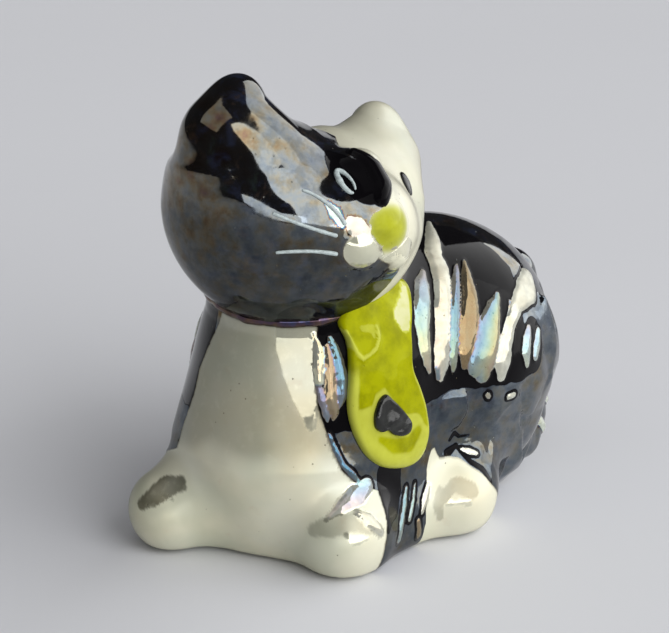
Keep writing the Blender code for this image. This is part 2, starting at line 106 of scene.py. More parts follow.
def ball(centre, radii, axes=None):
    """Distance to an ellipsoid. A radius may be a pair: below and above the centre."""

    def distance(p):
        local = p - point(centre)
        if axes is not None:
            local = local @ axes
        reach = np.empty_like(local)
        for i, radius in enumerate(radii):
            low, high = radius if np.ndim(radius) else (radius, radius)
            reach[:, i] = np.where(local[:, i] > 0.0, high, low)
        near = np.linalg.norm(local / reach, axis=1)
        steep = np.linalg.norm(local / reach**2, axis=1)
        return near * (near - 1.0) / np.maximum(steep, 1e-9)

    return distance


def limb(start, end, start_radius, end_radius):
    """Distance to a tapered rod with round ends."""
    start, end = point(start), point(end)
    axis = end - start

    def distance(p):
        local = p - start
        t = np.clip(local @ axis / (axis @ axis), 0.0, 1.0)
        radius = start_radius + t * (end_radius - start_radius)
        return np.linalg.norm(local - t[:, None] * axis, axis=1) - radius

    return distance


def soft_low(a, b, fillet):
    """The lower of two distances, run together over a fillet."""
    h = np.clip(0.5 + 0.5 * (b - a) / fillet, 0.0, 1.0)
    return b * (1.0 - h) + a * h - fillet * h * (1.0 - h)


def melt(fillet, *lobes):
    """Distance to lobes run together."""

    def distance(p):
        result = lobes[0](p)
        for lobe in lobes[1:]:
            result = soft_low(result, lobe(p), fillet)
        return result

    return distance


def step(value, low, high):
    """Smooth step from 0 at low to 1 at high."""
    t = np.clip((value - low) / (high - low), 0.0, 1.0)
    return t * t * (3.0 - 2.0 * t)


def ripple(p, size, seed, waves=14):
    """A wavy field with hills of about this size, from -1 to 1 or so, the same every run."""
    rng = np.random.default_rng(seed)
    turns = rng.normal(size=(waves, 3))
    turns /= np.linalg.norm(turns, axis=1)[:, None]
    turns *= (2.0 * math.pi / size) * rng.uniform(0.6, 1.4, size=(waves, 1))
    return np.sin(p @ turns.T + rng.uniform(0.0, 6.28, waves)).sum(axis=1) / math.sqrt(waves)


def head_axes():
    """Columns left, up and forward of the head, in the figurine's frame."""
    c, s = math.cos(HEAD_ROLL), math.sin(HEAD_ROLL)
    return np.array([[c, s, 0.0], [0.0, 0.0, -1.0], [-s, c, 0.0]])


def on_head(local):
    """Points of the head's frame in the figurine's frame."""
    return point(HEAD_CENTRE) + point(local) @ head_axes().T


def from_head(p):
    """Points of the figurine's frame in the head's frame."""
    return (p - point(HEAD_CENTRE)) @ head_axes()


def trunk_form():
    """Chest, neck, rump, back and belly run together, filled out low between the paws."""
    chest = limb((CHEST_X, 0, 11), (CHEST_X, 0, 24), 11.7, 8.2)
    rump = limb((RUMP_X, 0, 9.2), (RUMP_X, 0, RUMP_RADIUS), 12.2, RUMP_RADIUS)
    back = limb((-3, 0, 17.5), (RUMP_X, 0, 15.6), 11.3, 11.3)
    belly = ball((0, 0, 9), (17, 10, 9))
    skirts = [limb((CHEST_X, side, 2.6), (3, side, 2.6), 3.6, 3.6) for side in (-9.4, 9.4)]
    apron = limb((-16.6, 5, 2.6), (-11, -7.6, 2.6), 3.2, 3.2)
    return melt(TRUNK_FILLET, chest, rump, back, belly, *skirts, apron)


def paw_form(name):
    """One paw, a rod from its ankle inside the trunk out to the toe."""
    (x, y), radius = PAWS[name]
    toe = point((x, y, radius - 0.5))
    inward = point((math.copysign(RUMP_X, x), 0.0, toe[2])) - toe
    ankle = toe + 6.0 * inward / np.linalg.norm(inward) + point((0.0, 0.0, 3.0))
    return limb(ankle, toe, 4.7, radius)


def body_form():
    """The trunk with its paws."""
    return melt(PAW_FILLET, trunk_form(), *[paw_form(name) for name in PAWS])


def head_form():
    """Head ball with both ears, the snout and the ridge of the nose run into it."""
    axes = head_axes()
    lobes = [ball(HEAD_CENTRE, (13.7, (11.9, 7.5), 12.0), axes)]
    for side in (1, -1):
        lobes.append(limb(on_head((8.3 * side, 3.3, -0.4)), on_head((9.9 * side, 9.2, -1.4)), 6.1, 2.1))
        lobes.append(ball(on_head((11.3 * side, 5.5, -0.7)), (4, 4, 4)))
        lobes.append(limb(on_head((5.6 * side, 3.1, 0.2)), on_head((8.5 * side, 4.8, 0.6)), 4.9, 3.1))
        lobes.append(ball(on_head((7.6 * side, 2.9, 2.1)), (4, 4, 4)))
    snout = ball(on_head((0, 0.5, 9.6)), (4.8, 4.2, 3.5), axes)
    ridge = limb(on_head((-1.4, 5.6, 8.4)), on_head((-1.4, 3.8, 11.3)), 1.8, 1.2)
    return melt(HEAD_FILLET, *lobes, melt(RIDGE_FILLET, snout, ridge))


def muzzle_form(name):
    """The nose or a whisker pad."""
    return ball(on_head(MUZZLE[name][0]), MUZZLE[name][1], head_axes())


def face_form():
    """The head with its nose and whisker pads run into it."""
    skull, nose, right, left = head_form(), *[muzzle_form(name) for name in MUZZLE]

    def distance(p):
        pads = soft_low(right(p), left(p), PAD_FILLET)
        return soft_low(skull(p), soft_low(nose(p), pads, NOSE_FILLET), SNOUT_FILLET)

    return distance


def slope(form, p, reach=0.02):
    """Gradient of a form's distance."""
    steps = reach * np.eye(3)
    return np.stack([form(p + d) - form(p - d) for d in steps], axis=1) / (2.0 * reach)


def outward(form, p):
    """Unit normals of a form."""
    g = slope(form, p)
    return g / np.linalg.norm(g, axis=1)[:, None]


def settle(form, p, rounds=5):
    """Moves points onto a form's surface."""
    for _ in range(rounds):
        g = slope(form, p)
        p = p - (form(p) / np.maximum((g * g).sum(axis=1), 0.05))[:, None] * g
    return p


def ray_ends(form, centre, rays, reach=60.0):
    """Where rays from inside a form cross its surface."""
    near, far = np.zeros(len(rays)), np.full(len(rays), reach)
    for _ in range(36):
        middle = 0.5 * (near + far)
        inside = form(point(centre) + rays * middle[:, None]) < 0.0
        near, far = np.where(inside, middle, near), np.where(inside, far, middle)
    return point(centre) + rays * near[:, None]


def dressed(mesh, name, material, nodes, marks=None):
    """Turns a mesh in millimetres into a piece of the figurine, with its marks and glaze."""
    count = len(mesh.vertices)
    flat = np.empty(3 * count)
    mesh.vertices.foreach_get("co", flat)
    places = (flat.reshape(-1, 3) + FRAME_SHIFT) * MM
    mesh.vertices.foreach_set("co", places.ravel())
    for mark, values in (marks or {}).items():
        layer = mesh.attributes.new(mark, "FLOAT", "POINT")
        layer.data.foreach_set("value", values.astype(np.float32))
    mesh.shade_smooth()
    mesh.update()
    mesh.materials.clear()
    mesh.materials.append(material)
    piece = bpy.data.objects.new(name, mesh)
    bpy.context.scene.collection.objects.link(piece)
    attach(piece, "root")
    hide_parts(*nodes)
    return piece


def mesh_from(name, points, faces):
    """A mesh of these points and faces, facing out."""
    mesh = bpy.data.meshes.new(name)
    mesh.from_pydata([tuple(p) for p in points], [], faces)
    work = bmesh.new()
    work.from_mesh(mesh)
    bmesh.ops.recalc_face_normals(work, faces=work.faces)
    work.to_mesh(mesh)
    work.free()
    return mesh


def coordinates(mesh):
    """The points of a mesh as an array."""
    flat = np.empty(3 * len(mesh.vertices))
    mesh.vertices.foreach_get("co", flat)
    return flat.reshape(-1, 3)


def fine_skin(name, form, core, grain):
    """An even skin over a form: rays from its core, remeshed to the grain, drawn onto the form."""
    work = bmesh.new()
    bmesh.ops.create_icosphere(work, subdivisions=6, radius=1.0)
    rays = np.array([vert.co for vert in work.verts])
    rays /= np.linalg.norm(rays, axis=1)[:, None]
    for vert, place in zip(work.verts, ray_ends(form, core, rays)):
        vert.co = Vector(place)
    rough = bpy.data.meshes.new(name)
    work.to_mesh(rough)
    work.free()
    holder = bpy.data.objects.new(name, rough)
    bpy.context.scene.collection.objects.link(holder)
    remesh = holder.modifiers.new("grain", "REMESH")
    remesh.mode = "VOXEL"
    remesh.voxel_size = grain
    mesh = bpy.data.meshes.new_from_object(holder.evaluated_get(bpy.context.evaluated_depsgraph_get()))
    bpy.data.objects.remove(holder)
    bpy.data.meshes.remove(rough)
    mesh.vertices.foreach_set("co", settle(form, coordinates(mesh)).ravel())
    return mesh


def raise_skin(mesh, form, height):
    """Moves each point of a skin out along the form's normal by its height."""
    p = coordinates(mesh)
    mesh.vertices.foreach_set("co", (p + outward(form, p) * height[:, None]).ravel())


def glaze_edge(p, ink):
    """From 0 on white to 1 where the black glaze stands up, along a wavy edge."""
    return step(ink + 0.05 * ripple(p, 1.0, 5), -0.1, 0.15)


def shoulder(inside, width):
    """A round shoulder: from 0 at the edge of a stroke to 1 at this depth inside."""
    return 1.0 - (1.0 - np.clip(inside / width, 0.0, 1.0)) ** 2


def stroke_place(p, path, widths):
    """Where points lie in a brushed stroke: depth inside, place across (-1 to 1) and along (0 to 1)."""
    path = point(path)
    best, across, along = np.full(len(p), -FAR_OUT), np.zeros(len(p)), np.zeros(len(p))
    for k, (a, b, wa, wb) in enumerate(zip(path[:-1], path[1:], widths[:-1], widths[1:])):
        axis = b - a
        t = np.clip((p - a) @ axis / (axis @ axis), 0.0, 1.0)
        away = p - a - t[:, None] * axis
        width = wa + t * (wb - wa)
        inside = width - np.linalg.norm(away, axis=1)
        side = np.cross(point((0.0, -1.0, 0.0)), axis)
        share = np.clip(away @ (side / np.linalg.norm(side)) / width, -1.0, 1.0)
        across = np.where(inside > best, share, across)
        along = np.where(inside > best, (k + t) / (len(path) - 1), along)
        best = np.maximum(best, inside)
    return best, across, along


def stroke_inside(p, path, widths):
    """How deep points lie inside a brushed stroke: positive inside, in millimetres."""
    return stroke_place(p, path, widths)[0]


# Lustre strokes of the near side: places, half widths, paleness from black lustre to white enamel, the
# lustre film in nanometres at the left and right edge, and how much it grows from first to last place
FLANK_STROKES = (
    # Down the flank, from the chest to the rump
    (((2.1, -6.8, 26.2), (0.8, -7.9, 25.5), (-0.6, -9.2, 24.1), (-1.6, -10.2, 22.6), (-2.1, -11.0, 20.8),
      (-2.1, -11.5, 19.2), (-2.0, -11.6, 18.2)), (0.3, 0.9, 1.1, 1.0, 0.85, 0.6, 0.25), 0.55, 205, 232, 130),
    (((9.0, -1.0, 28.0), (6.6, -3.8, 27.6), (4.9, -5.5, 26.9), (4.2, -7.1, 25.9), (2.9, -8.7, 24.6),
      (1.6, -9.8, 23.1), (0.0, -11.3, 19.8), (-0.3, -11.7, 18.4), (-0.6, -11.8, 17.1)),
     (0.3, 0.8, 0.95, 1.05, 1.0, 0.98, 1.0, 0.95, 0.35), 0.82, 124, 90, 0),
    (((-0.5, -11.1, 20.0), (-0.9, -11.6, 18.3), (-0.9, -11.8, 17.2)), (0.2, 0.42, 0.3), 0.3, 176, 188, 0),
    (((7.0, -6.9, 26.4), (5.4, -8.3, 25.4), (3.6, -9.8, 23.6), (2.2, -11.0, 21.7), (1.5, -11.6, 20.0),
      (1.0, -12.2, 17.6)), (0.18, 0.48, 0.6, 0.66, 0.7, 0.4), 0.3, 180, 200, 70),
    (((7.8, -7.0, 26.3), (6.4, -8.8, 24.9), (5.4, -10.2, 23.4), (4.2, -11.2, 21.7), (3.0, -12.0, 19.7),
      (2.4, -12.4, 17.7)), (0.15, 0.7, 1.0, 1.2, 1.1, 0.5), 0.08, 106, 118, 0),
    (((9.2, -10.5, 23.2), (7.8, -11.2, 22.2), (6.4, -12.0, 20.8), (5.3, -12.6, 19.2), (4.3, -12.8, 17.7),
      (4.4, -13.0, 16.5)), (0.25, 0.85, 1.4, 1.7, 1.75, 1.0), 0.35, 148, 280, 25),
    (((15.1, -9.1, 22.9), (13.4, -10.5, 22.2), (10.8, -11.6, 21.6), (9.0, -12.4, 20.2), (7.7, -13.0, 18.6),
      (6.9, -13.4, 17.1), (6.6, -13.5, 15.7)), (1.0, 1.6, 0.9, 0.75, 0.95, 1.1, 0.6), 0.82, 90, 100, 0),
    (((10.2, -11.2, 22.2), (9.5, -12.0, 21.0), (8.5, -12.7, 19.6)), (0.25, 0.36, 0.25), 0.35, 176, 190, 0),
    (((11.5, -12.4, 19.2), (10.8, -12.9, 18.2), (10.3, -13.2, 17.1), (10.2, -13.5, 15.9)),
     (0.35, 0.66, 0.66, 0.35), 0.7, 190, 200, 60),
    (((12.9, -12.4, 18.4), (12.2, -12.9, 17.2), (11.7, -13.3, 16.2)), (0.4, 0.64, 0.42), 0.75, 172, 235, 0),
    # Dabs low on the flank
    (((4.9, -13.1, 14.1), (5.0, -13.1, 13.9)), (0.3, 0.3), 0.45, 100, 100, 0),
    (((7.5, -13.5, 13.3), (8.1, -13.6, 13.3)), (0.32, 0.38), 0.9, 90, 100, 0),
    (((2.0, -12.4, 8.9), (2.7, -12.7, 8.5), (3.5, -13.0, 8.1)), (0.22, 0.38, 0.28), 0.9, 90, 100, 0),
    # On the chest, between the bib and the tie
    (((-13.6, -7.3, 24.2), (-13.4, -7.9, 22.7), (-13.7, -8.2, 21.3), (-14.0, -8.5, 19.8)),
     (0.25, 0.56, 0.62, 0.5), 0.75, 235, 250, 0),
    (((-14.1, -8.5, 19.4), (-14.0, -8.9, 18.0), (-13.9, -9.4, 16.5), (-13.9, -9.5, 15.9)),
     (0.35, 0.46, 0.38, 0.15), 0.25, 158, 172, 28),
    (((-12.7, -8.2, 23.1), (-12.8, -8.6, 21.7), (-13.1, -9.1, 19.8), (-13.3, -9.4, 17.9),
      (-13.2, -9.7, 16.7), (-13.3, -9.8, 16.1)), (0.25, 0.55, 0.62, 0.66, 0.55, 0.25), 0.2, 108, 120, 0),
    (((-12.3, -8.2, 23.7), (-12.0, -8.7, 22.6), (-12.0, -9.2, 21.1), (-12.0, -9.6, 19.7),
      (-12.2, -9.9, 18.3), (-12.6, -9.9, 17.4)), (0.3, 0.52, 0.6, 0.64, 0.58, 0.35), 0.2, 170, 195, -20),
    (((-14.0, -9.8, 14.7), (-13.7, -10.3, 13.3), (-13.2, -10.9, 11.5), (-12.5, -11.4, 10.5),
      (-11.9, -11.7, 9.6)), (0.18, 0.3, 0.3, 0.36, 0.23), 0.1, 175, 190, 20),
    # On the front paw, and between it and the hind paw
    (((-15.9, -11.5, 6.7), (-14.5, -12.0, 7.7), (-12.6, -12.2, 8.5), (-11.1, -12.1, 9.0)),
     (0.15, 0.62, 1.1, 0.8), 0.75, 130, 170, 70),
    (((-13.5, -13.2, 7.3), (-12.7, -14.0, 6.5), (-11.7, -14.7, 5.1)), (0.35, 0.75, 0.5), 0.75, 90, 110, 0),
    (((-5.7, -12.2, 7.2), (-6.5, -12.7, 5.6), (-7.6, -13.3, 4.0), (-8.2, -13.6, 2.7)),
     (0.2, 0.32, 0.45, 0.4), 0.35, 190, 215, 0),
    (((-4.4, -12.1, 7.2), (-5.1, -12.6, 5.7), (-6.2, -13.1, 4.1)), (0.15, 0.2, 0.25), 0.5, 200, 230, 0),
    (((-2.7, -12.4, 6.5), (-3.6, -12.7, 5.2), (-4.3, -13.0, 4.2)), (0.3, 0.45, 0.2), 0.85, 90, 110, 0),
    (((-4.9, -13.1, 3.6), (-4.8, -13.0, 1.9)), (0.3, 0.35), 0.15, 112, 124, 0),
)

# Deep black glaze without lustre on the near side: the height of its lower edge by place along the trunk,
# its hind edge along the trunk by depth, pools of it, and how wide it rings a stroke
BLACK_LOW = ((-20, -12, -2.6, -0.6, 1.3, 3.0, 4.7, 7.2, 9.5, 12.0, 24),
             (14.7, 14.6, 15.0, 15.4, 15.7, 15.2, 15.0, 14.7, 14.5, 15.0, 16.0))
BLACK_HIND = ((-16, -11.1, -10.1, -8.6, -6.9, -4.9, -2.8, -2.0),
              (10.4, 11.3, 12.2, 12.7, 12.3, 11.5, 10.5, 9.4))
BLACK_POOLS = (
    (((12.1, -12.2, 19.0), (11.5, -12.9, 17.4), (11.3, -13.2, 16.2)), (1.1, 1.9, 1.6)),
    (((-7.9, -12.0, 9.4), (-8.2, -12.3, 7.7), (-8.9, -13.0, 6.5), (-10.0, -14.0, 5.6), (-10.5, -14.4, 4.8)),
     (1.7, 1.8, 1.6, 0.8, 0.4)),
    (((0.8, -11.9, 10.1), (1.3, -12.0, 10.8), (2.0, -12.0, 10.2), (3.2, -12.2, 10.0)),
     (0.22, 0.25, 0.22, 0.15)),
    (((0.4, -12.0, 8.9), (1.5, -12.1, 9.4), (2.4, -13.3, 7.6), (3.4, -14.0, 6.7), (3.8, -14.7, 5.5)),
     (0.5, 0.3, 0.32, 0.4, 0.3)),
)
BLACK_HALO = 0.3

# Painted shade: dark olive patches in the white of the paws, where they lie in shade or show the dark
# room: places, half widths and strength
PAW_PAINTED_SHADE = (
    (((-24.3, 5.8, 5.6), (-23.7, 4.9, 6.4), (-22.6, 4.3, 7.3), (-21.8, 3.2, 7.7), (-21.7, 2.5, 7.5)),
     (0.75, 1.1, 1.35, 0.9, 0.4), 0.9),
    (((-16.8, -10.5, 5.6), (-16.0, -12.1, 6.3), (-14.6, -13.4, 6.5), (-13.1, -14.4, 5.9)),
     (0.7, 1.2, 1.1, 0.8), 0.42),
    (((-1.7, -13.1, 5.8), (-2.3, -13.4, 4.5), (-2.2, -13.6, 3.1)), (0.5, 0.6, 0.4), 0.45),
    (((-1.4, -13.7, 5.2), (-0.2, -14.2, 6.0), (1.0, -14.6, 5.4)), (0.8, 1.2, 1.0), 0.5),
)

# Polished patches in the dull white of the bib and the paws: places and half widths
GLEAMS = (
    (((-14.5, -6.3, 25.5), (-14.9, -6.5, 23.3), (-15.2, -7.1, 20.9), (-15.3, -7.8, 18.6),
      (-15.2, -8.5, 16.6), (-15.3, -8.8, 15.6)), (2.3, 2.2, 1.75, 1.3, 0.9, 0.6)),
    (((-15.3, -13.6, 5.6), (-14.6, -14.2, 5.2), (-13.6, -14.6, 5.1)), (0.4, 0.8, 0.4)),
    (((-1.5, -13.9, 4.4), (-0.6, -14.2, 4.9), (0.4, -15.0, 4.4)), (0.3, 0.6, 0.5)),
    (((-23.1, 4.0, 6.7), (-22.7, 3.1, 6.3)), (0.25, 0.2)),
)

# Edge of the white of the near hind paw: place along the trunk and height; and the far paw's round white
SOCK_EDGE = ((-4.8, -4.0, -3.7, -3.1, -2.4, -1.7, -1.2, -0.6, 0.3, 1.5, 2.2, 3.0, 3.6, 4.4, 5.6, 7),
             (-3, 1.5, 4.3, 5.6, 8.0, 9.6, 10.0, 8.6, 8.6, 8.2, 7.3, 6.6, 5.6, 4.6, 3.4, 0))
FAR_SOCK = ((4.5, 10.8, 3.5), (5.3, 5.3, 5.3))

# Edges of the white bib: height, then bearing round the chest in degrees, minus towards the tie; and how
# far under the head it ends
BIB_NEAR = ((0, 3.5, 4.9, 6.5, 8.2, 9.4, 11, 14.4, 17.3, 21.8, 24.6, 30),
            (-82, -83, -85, -87, -88, -77, -70, -64.5, -60, -59.5, -63, -64))
BIB_FAR = ((0, 6.0, 9.0, 10.5, 12.8, 16.2, 18.8, 22.2, 25.3, 30), (58, 56, 38, 25, 25, 22, 23, 16, 9, 6))
BIB_TOP_GAP = 0.45

# Edge of the white half of the head: angle above its forward axis, then how far left
FACE_EDGE = ((-180, -120, -80, -50, -33.5, -24, -15.3, -10, -2, 7, 12, 14.4, 20, 25.6, 32, 42, 56, 74, 90,
              130, 180),
             (-0.4, 0.5, 2.0, 3.4, 4.2, 4.6, 4.3, 2.9, 0.5, -1.6, -2.0, -1.5, -1.0, -1.1, -1.6, -2.5, -1.2,
              0.8, 0.6, -0.6, -0.4))

# The thick end of the black glaze on the brow, the plain black round the eye (left, up and radius), the
# pooled glaze under the mouth, painted highlights on the snout (pale enamel with their films), the white
# between the whisker pads, and the folds of the cheek
BROW_BEAD = (((-2.6, 7.0, 8.0), (-1.8, 6.2, 10.2), (-1.6, 5.0, 11.7), (-2.0, 3.6, 12.3)),
             (0.5, 0.9, 1.0, 0.8))
EYE_BLACK = (-3.6, 4.6, 1.9)
MOUTH = (((-4.8, -2.2, 10.6), (-3.4, -3.4, 10.9), (-1.9, -3.2, 11.5), (-0.6, -2.7, 12.2)),
         (0.15, 0.35, 0.3, 0.2))
# Painted highlights on the snout: places, half widths and film thickness
SNOUT_PAINTED_HIGHLIGHTS = (
    (((-6.7, 1.9, 10.1), (-6.2, 1.4, 10.7), (-5.5, 0.5, 11.4)), (0.3, 0.55, 0.4), 198),
    (((-4.9, 1.0, 11.8), (-4.2, 0.5, 12.1), (-3.7, 0.1, 12.4), (-3.1, -0.1, 12.7)),
     (0.45, 1.0, 1.0, 0.5), 124),
)
MUZZLE_WHITE = (((-0.8, -1.2, 12.6), (0.8, -1.3, 12.6), (2.4, -1.5, 12.1)), (0.9, 1.1, 1.2))
CHEEK_FOLDS = (
    (((1.9, 2.6, 12.2), (1.4, 1.2, 12.6), (2.3, 0.0, 12.3), (2.2, -1.6, 12.2)), (0.1, 0.2, 0.25, 0.1)),
    (((3.4, 1.6, 11.6), (4.2, 0.2, 11.3), (3.6, -1.4, 11.5)), (0.1, 0.2, 0.1)),
    (((5.2, 2.0, 10.6), (5.9, 0.4, 10.2), (5.2, -1.8, 10.4)), (0.1, 0.22, 0.1)),
)

# Corners of the necktie's and the heart's outlines, across and up, and the tie's round edge: share of the
# outline and height
TIE_CENTRE = (-7.2, 17.9)
TIE_CORNERS = ((-11.3, 25.3), (-10.1, 26.4), (-8.2, 26.7), (-6.1, 26.8), (-3.4, 27.0), (-1.9, 26.5),
               (-2.5, 25.2), (-3.8, 23.0), (-4.4, 21.1), (-4.6, 19.2), (-3.8, 16.9), (-3.1, 14.6),
               (-2.8, 12.4), (-3.4, 10.3), (-4.8, 9.4), (-6.9, 9.6), (-9.2, 10.5), (-10.7, 11.9),
               (-11.6, 13.9), (-12.0, 16.0), (-11.9, 17.9), (-11.3, 20.6), (-10.9, 23.2))
TIE_SHOULDER = ((1.0, 0.3), (0.99, 0.6), (0.97, 0.82), (0.94, 0.96), (0.9, 1.03), (0.86, 1.05))
HEART_CENTRE = (-7.9, 15.2)
HEART_CORNERS = ((-8.4, 17.8), (-9.1, 17.5), (-9.6, 16.7), (-9.9, 15.8), (-9.9, 14.8), (-9.4, 14.2),
                 (-8.7, 14.2), (-8.0, 13.6), (-7.0, 13.2), (-6.1, 13.3), (-5.8, 14.1), (-6.1, 15.0),
                 (-7.0, 16.2), (-7.9, 17.3))

# The tie's pale ridge, painted window reflections on its upper corners, its pale foot's edge, and the deep
# glaze round the heart, as seen from the side
TIE_RIDGE = (((-11.3, 0, 24.5), (-11.1, 0, 23.5), (-10.8, 0, 22.5), (-10.3, 0, 21.8), (-9.6, 0, 22.0),
              (-8.7, 0, 22.5), (-8.1, 0, 23.3), (-8.0, 0, 24.5)),
             (0.14, 0.18, 0.18, 0.22, 0.16, 0.18, 0.16, 0.12))
TIE_PAINTED_GLARE = (
    (((-2.9, 0, 26.6), (-3.7, 0, 25.6), (-4.6, 0, 24.6), (-4.7, 0, 23.7)), (0.5, 0.8, 1.15, 0.75), 1.3),
    (((-9.6, 0, 24.5), (-8.6, 0, 24.3), (-8.6, 0, 23.6)), (0.4, 0.5, 0.3), 0.6),
)
TIE_FOOT = ((-12.3, -11.2, -10.2, -9.7, -8.6, -7.5, -5.8, -3.4),
            (17.6, 17.3, 17.3, 18.1, 18.5, 17.1, 15.6, 13.4))
TIE_HALO = (((-9.5, 0, 13.5), (-8.0, 0, 12.5), (-6.0, 0, 12.1), (-4.8, 0, 13.1)), (0.3, 0.7, 0.8, 0.5))

# Whiskers: start, bend and end, left and up on the face
WHISKERS = {
    "whisker_upper": ((-5.3, 0.6), (-6.8, 2.0), (-8.6, 2.6)),
    "whisker_middle": ((-5.7, -0.7), (-8.3, -0.5), (-10.7, -0.1)),
    "whisker_lower": ((-5.0, -2.4), (-7.4, -2.8), (-9.4, -3.6)),
}

# How far the middle of an enamel stroke lies above the face
STROKE_LIFT = 0.12

# Eye ring: its place, how narrow it is, and its stroke: bearing in degrees and half width
EYE_RING_PLACE = (-4.55, 4.2)
EYE_RING_NARROWING = 0.62
EYE_RING_SWELL = ((-28, 30, 90, 180, 250, 282), (0.1, 0.17, 0.24, 0.3, 0.25, 0.14))

# Eye spot: its place, its width and length, and its profile: share of the outline and height
EYE_SPOT_PLACE = (6.4, 4.8, 0.0)
EYE_SPOT_SIZE = (1.25, 1.85)
EYE_SPOT_PROFILE = ((1.0, 0.08), (0.9, 0.17), (0.75, 0.22), (0.5, 0.25), (0.25, 0.26), (0.08, 0.26))

# Lamps, in metres and degrees: the window's panes by bearing and share of its brightness, with their
# distance, size and height, then the bearing, distance, size and height of the others
WINDOW_PANES = ((-4.9, 1.22), (39.4, 1.0), (83.7, 0.68))
WINDOW_PLACE = (2.4, (1.95, 3.5), 1.76)
SILL_PLACE = (-44.0, 2.3, (1.86, 0.42), 0.27)
CEILING_PLACE = (-100.0, 0.35, (0.8, 0.8), 0.75)

# Camera: the height that it aims at, how far right and up of that its middle lies, and the photograph's
# scale and width in pixels
AIM_HEIGHT = 0.02
AIM_RIGHT = -0.00239
AIM_UP = 0.00011
PIXELS_PER_MM = 10.0
PHOTO_WIDTH = 669
SENSOR_WIDTH = 36.0


def bib_inside(p, head):
    """How far inside the white of the bib and the front paws points lie."""
    out = np.hypot(p[:, 0] - CHEST_X, p[:, 1])
    bearing = np.degrees(np.arctan2(p[:, 1], CHEST_X - p[:, 0]))
    near = np.radians(bearing - np.interp(p[:, 2], *BIB_NEAR)) * out
    far = np.radians(np.interp(p[:, 2], *BIB_FAR) - bearing) * out
    return np.minimum(np.minimum(near, far), head(p) - BIB_TOP_GAP)


def sock_inside(p):
    """How far inside the white of the hind paws points lie."""
    near = np.minimum(0.7 * (np.interp(p[:, 0], *SOCK_EDGE) - p[:, 2]), -6.0 - p[:, 1])
    return np.maximum(near, -ball(*FAR_SOCK)(p))


def flank_strokes(p):
    """The strokes on both sides of the trunk: depth inside, paleness and film thickness."""
    side = near_side(p)
    best, pale, film = np.full(len(p), -FAR_OUT), np.zeros(len(p)), np.full(len(p), UNMARKED_FILM)
    for path, widths, paleness, left, right, growth in FLANK_STROKES:
        inside, across, along = stroke_place(side, path, widths)
        inside = inside + 0.03 * ripple(p, 1.6, 11) + 0.02 * ripple(p, 0.7, 12)
        nearer = inside > best
        pale = np.where(nearer, paleness, pale)
        own = 0.5 * (left + right) + 0.5 * (right - left) * across + growth * (along - 0.5)
        film = np.where(nearer, own, film)
        best = np.maximum(best, inside)
    return best, pale, film


def near_side(p):
    """Points of the far side mirrored onto the near side, a little out of step with it."""
    side = p.copy()
    side[:, 1] = -np.abs(side[:, 1])
    side[:, 0] += np.where(p[:, 1] > 0.0, 0.6 + 0.5 * ripple(p, 9.0, 3), 0.0)
    return side


def deep_black(p, strokes):
    """How far inside the black glaze without lustre points lie."""
    side = near_side(p)
    low, hind = np.interp(side[:, 0], *BLACK_LOW), np.interp(side[:, 1], *BLACK_HIND)
    above = np.min([side[:, 2] - low, hind - side[:, 0], -2.0 - side[:, 1]], axis=0)
    around = np.minimum(strokes, 0.0) + BLACK_HALO
    pools = [stroke_inside(p, *pool) for pool in BLACK_POOLS]
    return np.max([above + 0.1 * ripple(p, 1.5, 13), around, *pools], axis=0)


def painted_shade_strength(p):
    """Strength of the painted shade, from 0 to 1: dark olive patches on the paws, and a thin olive-grey
    shade painted over the upper bib.
    """
    depths = [strength * step(stroke_inside(p, path, widths), 0.0, 0.12)
              for path, widths, strength in PAW_PAINTED_SHADE]
    painted_bib_shade = 0.47 * step(p[:, 2] + 0.6 * ripple(p, 5.0, 62), 10.5, 13.5) * step(-p[:, 0], 8.0, 10.0)
    return np.maximum(np.max(depths, axis=0), painted_bib_shade)


def dullness(p, strokes):
    """How dull the white and the strokes are, from 0 to 1."""
    gleam = np.max([step(stroke_inside(p, *patch), -0.05, 0.15) for patch in GLEAMS], axis=0)
    matte = np.maximum(step(p[:, 2], 24.6, 25.8), step(p[:, 0], 9.6, 10.6) * step(p[:, 2], 20.4, 21.2))
    return np.where(strokes > -0.15, matte, 0.8 * (1.0 - gleam))


